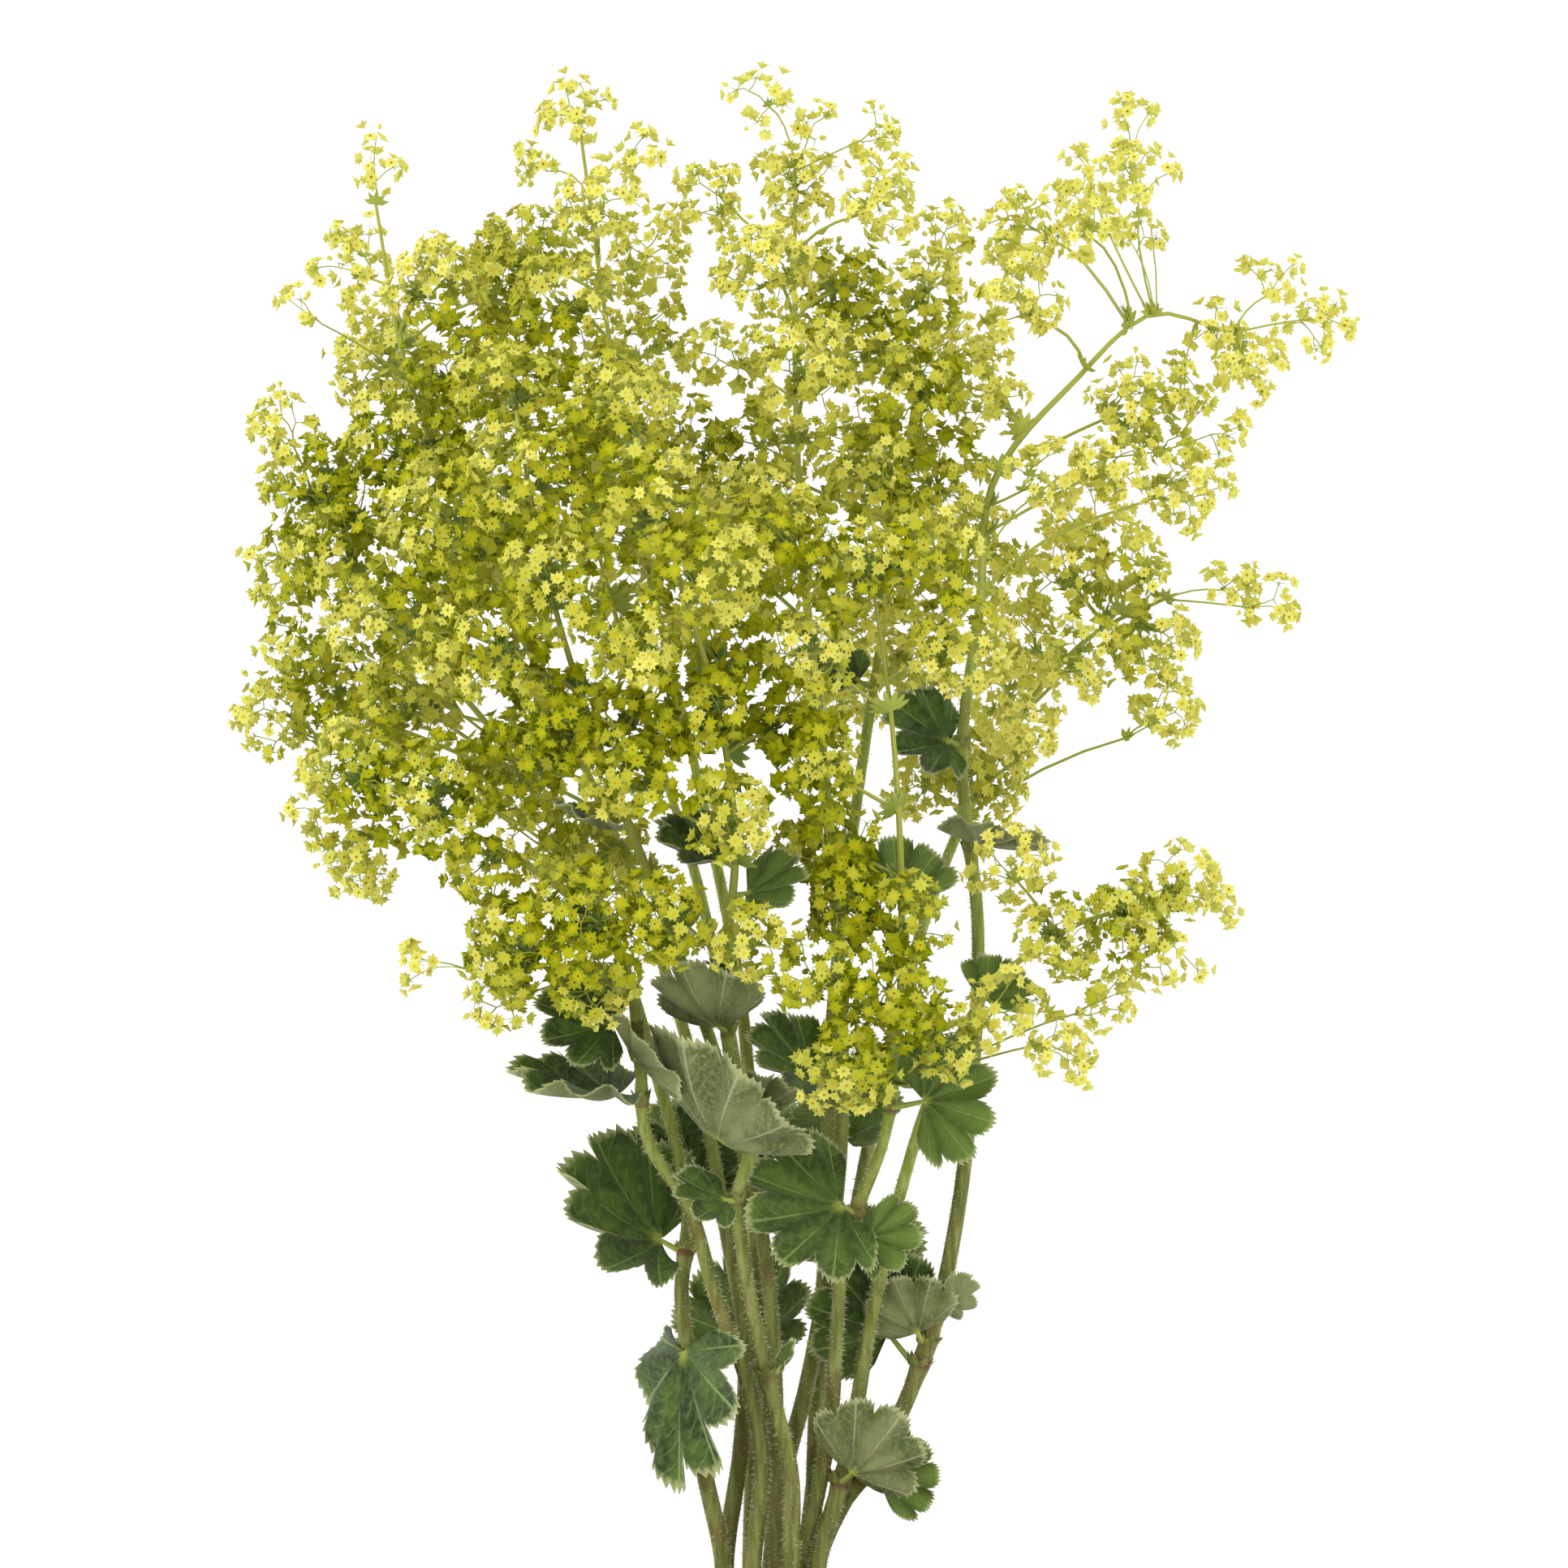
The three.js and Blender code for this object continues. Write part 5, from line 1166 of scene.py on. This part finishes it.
# The pot and the soil. The wall is RIM_EXTRA thicker at the rim, and the small steps of the pot's profile are
# the solid's. A corner's arc starts CORNER before it, or CORNER_SHARE of a side that is too short for that.
# The soil's rings start at SOIL_START of its radius. A lump of it has a height, a width and a turn. A kind of
# crumb has a count, a size, a height over the soil, and whether it is white.
BAND_FOOT = POT_HEIGHT - POT_BAND_HEIGHT
RIM_EXTRA = 2
CORNER = 1.8
CORNER_SHARE = 0.45
CORNER_STEPS = 4
POT_SIDES = 96
POT_SHARPNESS = 40
HOLE_SIDES = 24
SOIL_RINGS = 22
SOIL_START = 0.05
SOIL_SIDES = 90
SOIL_SHARPNESS = 35
SOIL_LUMPS = ((0.9, 9.0, 0.4), (0.6, 4.1, 1.7), (0.35, 2.2, 2.9))
SOIL_GRAIN = 0.25
SOIL_EDGE = 0.93
CRUMBS = ((420, 1.6, 0.2, 0), (110, 2.7, 0.6, 0), (50, 1.3, 0.5, 1))
CRUMB_STRETCH = [1.25, 0.85, 0.7]
CRUMB_DRIFT = 0.28
CRUMB_LIFT = 0.6
CRUMB_MARGIN = 2


def pot_inner_radius(z):
    """The pot's inner radius at a height."""
    low = POT_FOOT_RADIUS - POT_WALL
    middle = POT_RIM_RADIUS - POT_BAND_STEP - POT_WALL
    high = POT_RIM_RADIUS - POT_WALL - RIM_EXTRA
    return float(np.interp(z, [POT_FLOOR, BAND_FOOT, POT_HEIGHT], [low, middle, high]))


def rounded(profile):
    """A profile with its corners rounded by arcs."""
    points = [np.array(p, float) for p in profile]
    out = [points[0]]
    for before, corner, after in zip(points, points[1:], points[2:]):
        reach_in = min(CORNER, CORNER_SHARE * np.linalg.norm(corner - before))
        reach_out = min(CORNER, CORNER_SHARE * np.linalg.norm(after - corner))
        a = corner + unit(before - corner) * reach_in
        b = corner + unit(after - corner) * reach_out
        for t in np.linspace(0, 1, CORNER_STEPS + 1):
            out.append(a * (1 - t) ** 2 + 2 * corner * t * (1 - t) + b * t ** 2)
    return [*out, points[-1]]


def turned_profile(profile, count):
    """A closed body of revolution of a profile that starts and ends on the axis."""
    loops = [loop(r, z, count) for r, z in profile[1:-1]]
    return turned([0, 0, profile[0][1]], loops, [0, 0, profile[-1][1]])


def dress_pot(material):
    """Makes the clay pot: a turned shell with a rim band and drainage holes."""
    inside = [(0, POT_FLOOR), *((pot_inner_radius(z), z) for z in (POT_FLOOR, BAND_FOOT, POT_HEIGHT))]
    outside = [
        (POT_RIM_RADIUS - 1, POT_HEIGHT), (POT_RIM_RADIUS, POT_HEIGHT - 3),
        (POT_RIM_RADIUS - 1, BAND_FOOT + 1), (POT_RIM_RADIUS - POT_BAND_STEP + 0.6, BAND_FOOT),
        (POT_FOOT_RADIUS + 0.4, 2.5), (POT_FOOT_RADIUS - 2, 0), (0, 0),
    ]
    points, triangles = turned_profile(rounded(inside + outside), POT_SIDES)
    pot = Sheaf()
    pot.add(points, triangles, [0.5, 0, 0, 1])
    piece = pot.piece("pot_fine", material, "clay", ["pot"], POT_SHARPNESS)
    high, low = 2 * POT_FLOOR, -POT_FLOOR
    for k in range(DRAIN_HOLE_COUNT):
        angle = FULL_TURN * (k + DRAIN_HOLE_START) / DRAIN_HOLE_COUNT
        rings = [loop(DRAIN_HOLE_RADIUS, z, HOLE_SIDES) for z in (high, low)]
        spots, faces = turned([0, 0, high], rings, [0, 0, low])
        spots = spots + spoke(DRAIN_HOLE_CIRCLE, angle, 0)
        cutter = bpy.data.meshes.new("drain_hole")
        cutter.from_pydata((spots * MM).tolist(), [], faces.tolist())
        tool = bpy.data.objects.new("drain_hole", cutter)
        bpy.context.scene.collection.objects.link(tool)
        cut = piece.modifiers.new("cut", "BOOLEAN")
        cut.object = tool
        cut.solver = "EXACT"
        graph = bpy.context.evaluated_depsgraph_get()
        cut_mesh = bpy.data.meshes.new_from_object(piece.evaluated_get(graph))
        piece.modifiers.clear()
        piece.data = cut_mesh
        bpy.data.objects.remove(tool)


def dress_soil(materials):
    """Makes the soil: a lumpy fill with crumbs of peat and bark and a few white grains on it."""
    rng = np.random.default_rng(SOIL_SEED)
    wall_gap = 2 * CLEARANCE
    floor = POT_FLOOR + CLEARANCE
    edge = pot_inner_radius(SOIL_LEVEL) - wall_gap
    profile = [(0, SOIL_LEVEL + SOIL_CROWN)]
    for share in np.linspace(SOIL_START, 1, SOIL_RINGS):
        profile.append((share * edge, SOIL_LEVEL + SOIL_CROWN * (1 - share ** 2)))
    profile.append((pot_inner_radius(BAND_FOOT) - wall_gap, BAND_FOOT))
    profile += [(pot_inner_radius(POT_FLOOR) - wall_gap, floor), (0, floor)]
    points, triangles = turned_profile(profile, SOIL_SIDES)
    x, y, z = points.T
    lumps = sum(
        height * np.sin(x / size + turn) * np.sin(y / size + 2 * turn) for height, size, turn in SOIL_LUMPS
    )
    top = z > SOIL_LEVEL - CLEARANCE
    rim = smooth_step(edge, SOIL_EDGE * edge, np.hypot(x, y))
    points[:, 2] = z + np.where(top, lumps * rim + rng.normal(0, SOIL_GRAIN, len(z)) * rim, 0)
    soil = Sheaf()
    soil.add(points, triangles, [0.3, 0, 0, 1])
    loops = [loop(0.75, 0.45, 5), loop(1, -0.1, 6, 0.5), loop(0.6, -0.6, 5)]
    crumb_points, crumb_triangles = turned([0, 0, 0.8], loops, [0, 0, -0.8])
    for count, size, height, white in CRUMBS:
        angle = rng.random(count) * FULL_TURN
        distance = (edge - CRUMB_MARGIN) * np.sqrt(rng.random(count))
        level = SOIL_LEVEL + SOIL_CROWN * (1 - (distance / edge) ** 2) + height
        places = np.stack([distance * np.cos(angle), distance * np.sin(angle), level], axis=1)
        sizes = size * np.exp(rng.normal(0, CRUMB_DRIFT, count))
        paint = np.tile([0.5, 0.0, float(white), 1.0], (len(crumb_points), 1))
        form = (crumb_points * CRUMB_STRETCH, crumb_triangles, paint)
        turns = turns_to(directions(count, rng) + [0, 0, CRUMB_LIFT], rng.random(count) * ANY_SPIN)
        copies(soil, form, places, turns, sizes, rng.random(count))
    soil.piece("soil_fine", materials["soil"], "soil", ["soil"], SOIL_SHARPNESS)


# Materials, each with its own nodes. Colours are given in 0 to 255.

def linear(colour):
    """A colour given in 0 to 255, as linear shares, opaque."""
    shares = np.array(colour) / 255
    values = np.where(shares <= 0.04045, shares / 12.92, ((shares + 0.055) / 1.055) ** 2.4)
    return (*(float(v) for v in values), 1)


class Nodes:
    """A material in the making, with short calls for the nodes that it uses."""

    def __init__(self, name, roughness, **sockets):
        self.material = bpy.data.materials.new(name)
        self.material.use_nodes = True
        self.tree = self.material.node_tree
        self.shader = self.tree.nodes["Principled BSDF"]
        self.shader.inputs["Roughness"].default_value = roughness
        for socket, value in sockets.items():
            self.shader.inputs[socket.replace("_", " ")].default_value = value

    def new(self, kind):
        return self.tree.nodes.new("ShaderNode" + kind)

    def put(self, target, value):
        """Gives a socket the output of another node, a colour or a number."""
        if isinstance(value, bpy.types.NodeSocket):
            self.tree.links.new(value, target)
        else:
            target.default_value = linear(value) if isinstance(value, tuple) else value

    def paint(self):
        """The four shares of the paint: red, green, blue and alpha."""
        attribute = self.new("Attribute")
        attribute.attribute_name = "paint"
        split = self.new("SeparateColor")
        self.put(split.inputs["Color"], attribute.outputs["Color"])
        return (*split.outputs, attribute.outputs["Alpha"])

    def math(self, operation, first, second=0.0):
        node = self.new("Math")
        node.operation = operation
        self.put(node.inputs[0], first)
        self.put(node.inputs[1], second)
        return node.outputs[0]

    def times(self, first, second):
        return self.math("MULTIPLY", first, second)

    def rest(self, share):
        """What a share leaves of 1."""
        return self.math("SUBTRACT", 1.0, share)

    def ramp(self, share, low, high):
        """0 below low and 1 above high."""
        node = self.new("MapRange")
        node.interpolation_type = "SMOOTHSTEP"
        self.put(node.inputs["Value"], share)
        node.inputs["From Min"].default_value = low
        node.inputs["From Max"].default_value = high
        return node.outputs["Result"]

    def mix(self, share, first, second):
        """The first colour where the share is 0, and the second where it is 1."""
        node = self.new("Mix")
        node.data_type = "RGBA"
        self.put(node.inputs["Factor"], share)
        colours = [socket for socket in node.inputs if socket.type == "RGBA"]
        self.put(colours[0], first)
        self.put(colours[1], second)
        return next(socket for socket in node.outputs if socket.type == "RGBA")

    def tint(self, share, amount, first, second):
        """The first colour, with so much of the second where the share is 1."""
        return self.mix(self.times(share, amount), first, second)

    def noise(self, size, detail, stretch=(1, 1, 1)):
        """Noise whose lumps are about so many millimetres wide."""
        coordinates = self.new("TexCoord")
        mapping = self.new("Mapping")
        mapping.inputs["Scale"].default_value = stretch
        texture = self.new("TexNoise")
        texture.inputs["Scale"].default_value = 1 / (size * MM)
        texture.inputs["Detail"].default_value = detail
        self.put(mapping.inputs["Vector"], coordinates.outputs["Object"])
        self.put(texture.inputs["Vector"], mapping.outputs["Vector"])
        return texture.outputs["Fac"]

    def bump(self, height, distance, strength=1.0):
        """Relief of so many millimetres."""
        node = self.new("Bump")
        node.inputs["Strength"].default_value = strength
        node.inputs["Distance"].default_value = distance * MM
        self.put(node.inputs["Height"], height)
        self.put(self.shader.inputs["Normal"], node.outputs["Normal"])

    def done(self, colour):
        """The finished material, in a colour."""
        self.put(self.shader.inputs["Base Color"], colour)
        return self.material


def floret_material():
    """Sepals from lime green to yellow by a tone of chance and of painted light and shade, greener below,
    round a golden disc, often with a brown middle.
    """
    m = Nodes("floret", 0.75, Specular_IOR_Level=0.08)
    tone, distance, disc, under = m.paint()
    # The tone runs from greener painted shade to paler painted light, with a random part
    sepal = m.mix(m.ramp(tone, 0.12, 1.02), (160, 163, 4), (234, 227, 116))
    sepal = m.mix(m.ramp(distance, 0.5, 1.0), m.mix(0.2, sepal, (160, 178, 34)), sepal)
    below = m.mix(m.ramp(tone, 0.1, 0.9), (150, 163, 20), (228, 226, 122))
    sepal = m.tint(under, 0.55, sepal, below)
    golden = m.mix(m.ramp(disc, 0.1, 0.6), sepal, m.mix(0.5, sepal, (216, 196, 36)))
    chance = m.math("FRACT", m.times(tone, 17.3))
    brown = m.mix(m.ramp(chance, 0.2, 0.6), (204, 178, 48), (132, 80, 30))
    return m.done(m.mix(m.ramp(disc, 0.52, 0.82), golden, brown))


def twig_material():
    """Thin yellow-green twigs, more even in colour where they are thick."""
    m = Nodes("twig", 0.6, Specular_IOR_Level=0.2)
    tone, thick, _, _ = m.paint()
    young = m.mix(tone, (182, 188, 80), (154, 170, 64))
    return m.done(m.mix(thick, young, (168, 172, 78)))


def bract_material():
    """Small bracts, green where they are shaded and yellow-green where light falls through them."""
    m = Nodes("bract", 0.65, Specular_IOR_Level=0.2)
    tone, _, reach, _ = m.paint()
    body = m.mix(tone, (90, 120, 50), (176, 184, 78))
    return m.done(m.mix(m.ramp(reach, 0.6, 0.95), body, (176, 184, 104)))


def stem_material():
    """Olive stems, finely streaked along, with brown at the swollen nodes."""
    m = Nodes("stem", 0.65, Specular_IOR_Level=0.25)
    tone, part, node, _ = m.paint()
    streak = m.noise(1.6, 3, (1, 1, 0.12))
    streaked = m.ramp(streak, 0.35, 0.65)
    low = m.mix(streaked, (104, 112, 50), (142, 146, 78))
    high = m.mix(streaked, (140, 156, 60), (166, 178, 86))
    body = m.mix(m.ramp(part, 0.45, 1.0), low, high)
    body = m.tint(m.ramp(m.noise(9, 2), 0.5, 0.66), 0.4, body, (122, 92, 54))
    m.bump(streak, 0.25)
    return m.done(m.mix(m.ramp(node, 0.5, 1.0), body, (104, 72, 46)))


def hair_material():
    """Pale, soft hairs."""
    m = Nodes("hair", 0.6, Specular_IOR_Level=0.3)
    return m.done(m.mix(m.noise(12, 1), (206, 208, 164), (236, 236, 206)))


def leaf_material():
    """Green above, with painted light from the leaf's heading and painted shade along the pleats between the
    lobes, and grey-green below, with light veins, fine grain, a pale edge and a yellow-green foot.
    """
    m = Nodes("leaf", 0.62, Specular_IOR_Level=0.2, Sheen_Weight=0.08)
    tone, lobe, reach, side = m.paint()
    upper = m.ramp(side, 0.4, 0.6)
    grain = m.noise(2.2, 4)
    cloud = m.ramp(m.noise(14, 2), 0.35, 0.65)
    above = m.mix(cloud, (40, 60, 16), (76, 106, 30))
    # The upper face is painted lighter by the leaf's tone, partly painted light from its heading and partly
    # chance
    above = m.mix(m.ramp(tone, 0.0, 1.0), above, (116, 142, 58))
    # Painted shade along the pleats between the lobes, on the upper face
    above = m.tint(m.ramp(lobe, 0.3, 1.0), 0.5, above, (28, 44, 12))
    below = m.mix(cloud, (84, 95, 48), (132, 138, 88))
    below = m.tint(m.ramp(m.noise(1.1, 2), 0.45, 0.7), 0.4, below, (152, 154, 110))
    body = m.mix(upper, below, above)
    body = m.tint(m.ramp(grain, 0.4, 0.7), 0.3, body, (124, 142, 78))
    middle = m.rest(m.ramp(lobe, 0.01, 0.1))
    slant = m.math("SUBTRACT", reach, m.times(lobe, 0.34))
    beat = m.math("ABSOLUTE", m.math("SUBTRACT", m.math("FRACT", m.times(slant, 7.0)), 0.5))
    side_vein = m.times(m.rest(m.ramp(beat, 0.0, 0.12)), m.rest(m.ramp(lobe, 0.35, 0.85)))
    veins = m.math("MAXIMUM", middle, m.times(side_vein, 0.45))
    body = m.tint(veins, 0.7, body, m.mix(upper, (172, 176, 134), (148, 168, 100)))
    body = m.tint(m.rest(m.ramp(reach, 0.02, 0.16)), 0.8, body, (164, 176, 76))
    m.bump(m.math("SUBTRACT", grain, m.times(veins, 0.4)), 0.5)
    return m.done(m.tint(m.ramp(reach, 0.94, 1.0), 0.75, body, (186, 190, 132)))


def soil_material():
    """Dark, crumbly peat with white grains."""
    m = Nodes("soil", 0.95)
    tone, _, white, _ = m.paint()
    grain = m.noise(1.2, 5)
    peat = m.mix(m.ramp(grain, 0.35, 0.7), (44, 32, 24), (92, 70, 50))
    peat = m.tint(m.ramp(tone, 0.6, 1.0), 0.6, peat, (120, 84, 54))
    m.bump(grain, 0.6)
    return m.done(m.mix(white, peat, (226, 222, 210)))


def clay_material():
    """Terracotta with fine turning lines, a dusty bloom and darker grit."""
    m = Nodes("clay", 0.88)
    grit = m.noise(1.1, 3)
    lines = m.noise(3.0, 2, (0.04, 0.04, 1.6))
    body = m.mix(m.ramp(m.noise(38, 4), 0.35, 0.68), (176, 98, 66), (196, 120, 84))
    body = m.tint(m.ramp(lines, 0.45, 0.75), 0.3, body, (168, 92, 62))
    body = m.tint(m.ramp(m.noise(22, 6), 0.56, 0.74), 0.3, body, (214, 190, 170))
    m.bump(m.math("ADD", grit, m.times(lines, 0.8)), 0.3, 0.7)
    return m.done(m.tint(m.ramp(grit, 0.6, 0.75), 0.35, body, (140, 76, 52)))


def floor_material():
    """A plain white floor."""
    m = Nodes("floor", 0.9)
    return m.done(m.mix(m.noise(300, 1), (250, 250, 250), (252, 252, 252)))


# The camera, the light and the floor

def set_stage():
    """Makes the photograph's camera, a white surround, a soft lamp and a white floor."""
    scene = bpy.context.scene
    camera = bpy.data.objects.new("camera", bpy.data.cameras.new("camera"))
    scene.collection.objects.link(camera)
    camera.data.sensor_width = SENSOR_WIDTH
    camera.data.lens = SENSOR_WIDTH * VIEW_DISTANCE / VIEW_WIDTH
    camera.data.clip_end = VIEW_END
    camera.location = (0, -VIEW_DISTANCE * MM, VIEW_HEIGHT * MM)
    camera.rotation_euler = (math.pi / 2, 0, 0)
    scene.camera = camera

    world = bpy.data.worlds.new("surround")
    world.use_nodes = True
    world.node_tree.nodes["Background"].inputs["Color"].default_value = (1, 1, 1, 1)
    world.node_tree.nodes["Background"].inputs["Strength"].default_value = SURROUND
    scene.world = world
    scene.view_settings.view_transform = "Standard"

    lamp = bpy.data.objects.new("key", bpy.data.lights.new("key", "AREA"))
    scene.collection.objects.link(lamp)
    lamp.data.shape = "DISK"
    lamp.data.size = LAMP_SIZE
    lamp.data.energy = LAMP_ENERGY
    lamp.location = LAMP_PLACE
    lamp.rotation_euler = (math.radians(LAMP_TILT), 0, math.radians(LAMP_TURN))

    floor = bpy.data.meshes.new("floor")
    corners = [(FLOOR_REACH * x, FLOOR_REACH * y, 0) for x, y in ((-1, -1), (1, -1), (1, 1), (-1, 1))]
    floor.from_pydata(corners, [], [(0, 1, 2, 3)])
    floor.materials.append(floor_material())
    stage = bpy.data.objects.new("floor", floor)
    scene.collection.objects.link(stage)


def dress_plant():
    """Makes every piece of the plant, the soil and the pot."""
    materials = {
        "floret": floret_material(), "twig": twig_material(), "bract": bract_material(),
        "stem": stem_material(), "hair": hair_material(), "leaf": leaf_material(), "soil": soil_material(),
    }
    plans = [plan_spray(index) for index in range(len(STEMS))]
    clusters = np.concatenate([plan[0] for plan in plans])
    levels = cluster_levels(clusters)
    pale = openness(clusters)
    start = 0
    for index, (own, twigs, forks) in enumerate(plans):
        mine = slice(start, start + len(own))
        # Paleness is painted light on the florets and bracts, and more of it is painted on the right side's
        # sprays
        paleness = np.minimum(1, pale[mine] + PALER_SPRAYS.get(index + 1, 0))
        dress_spray(index, own, levels[mine], paleness, twigs, forks, materials)
        dress_stem(index, materials)
        start += len(own)
    for number, leaf in enumerate(LEAVES, 1):
        dress_leaf(number, leaf, materials)
    dress_soil(materials)
    dress_pot(clay_material())


set_stage()
dress_plant()
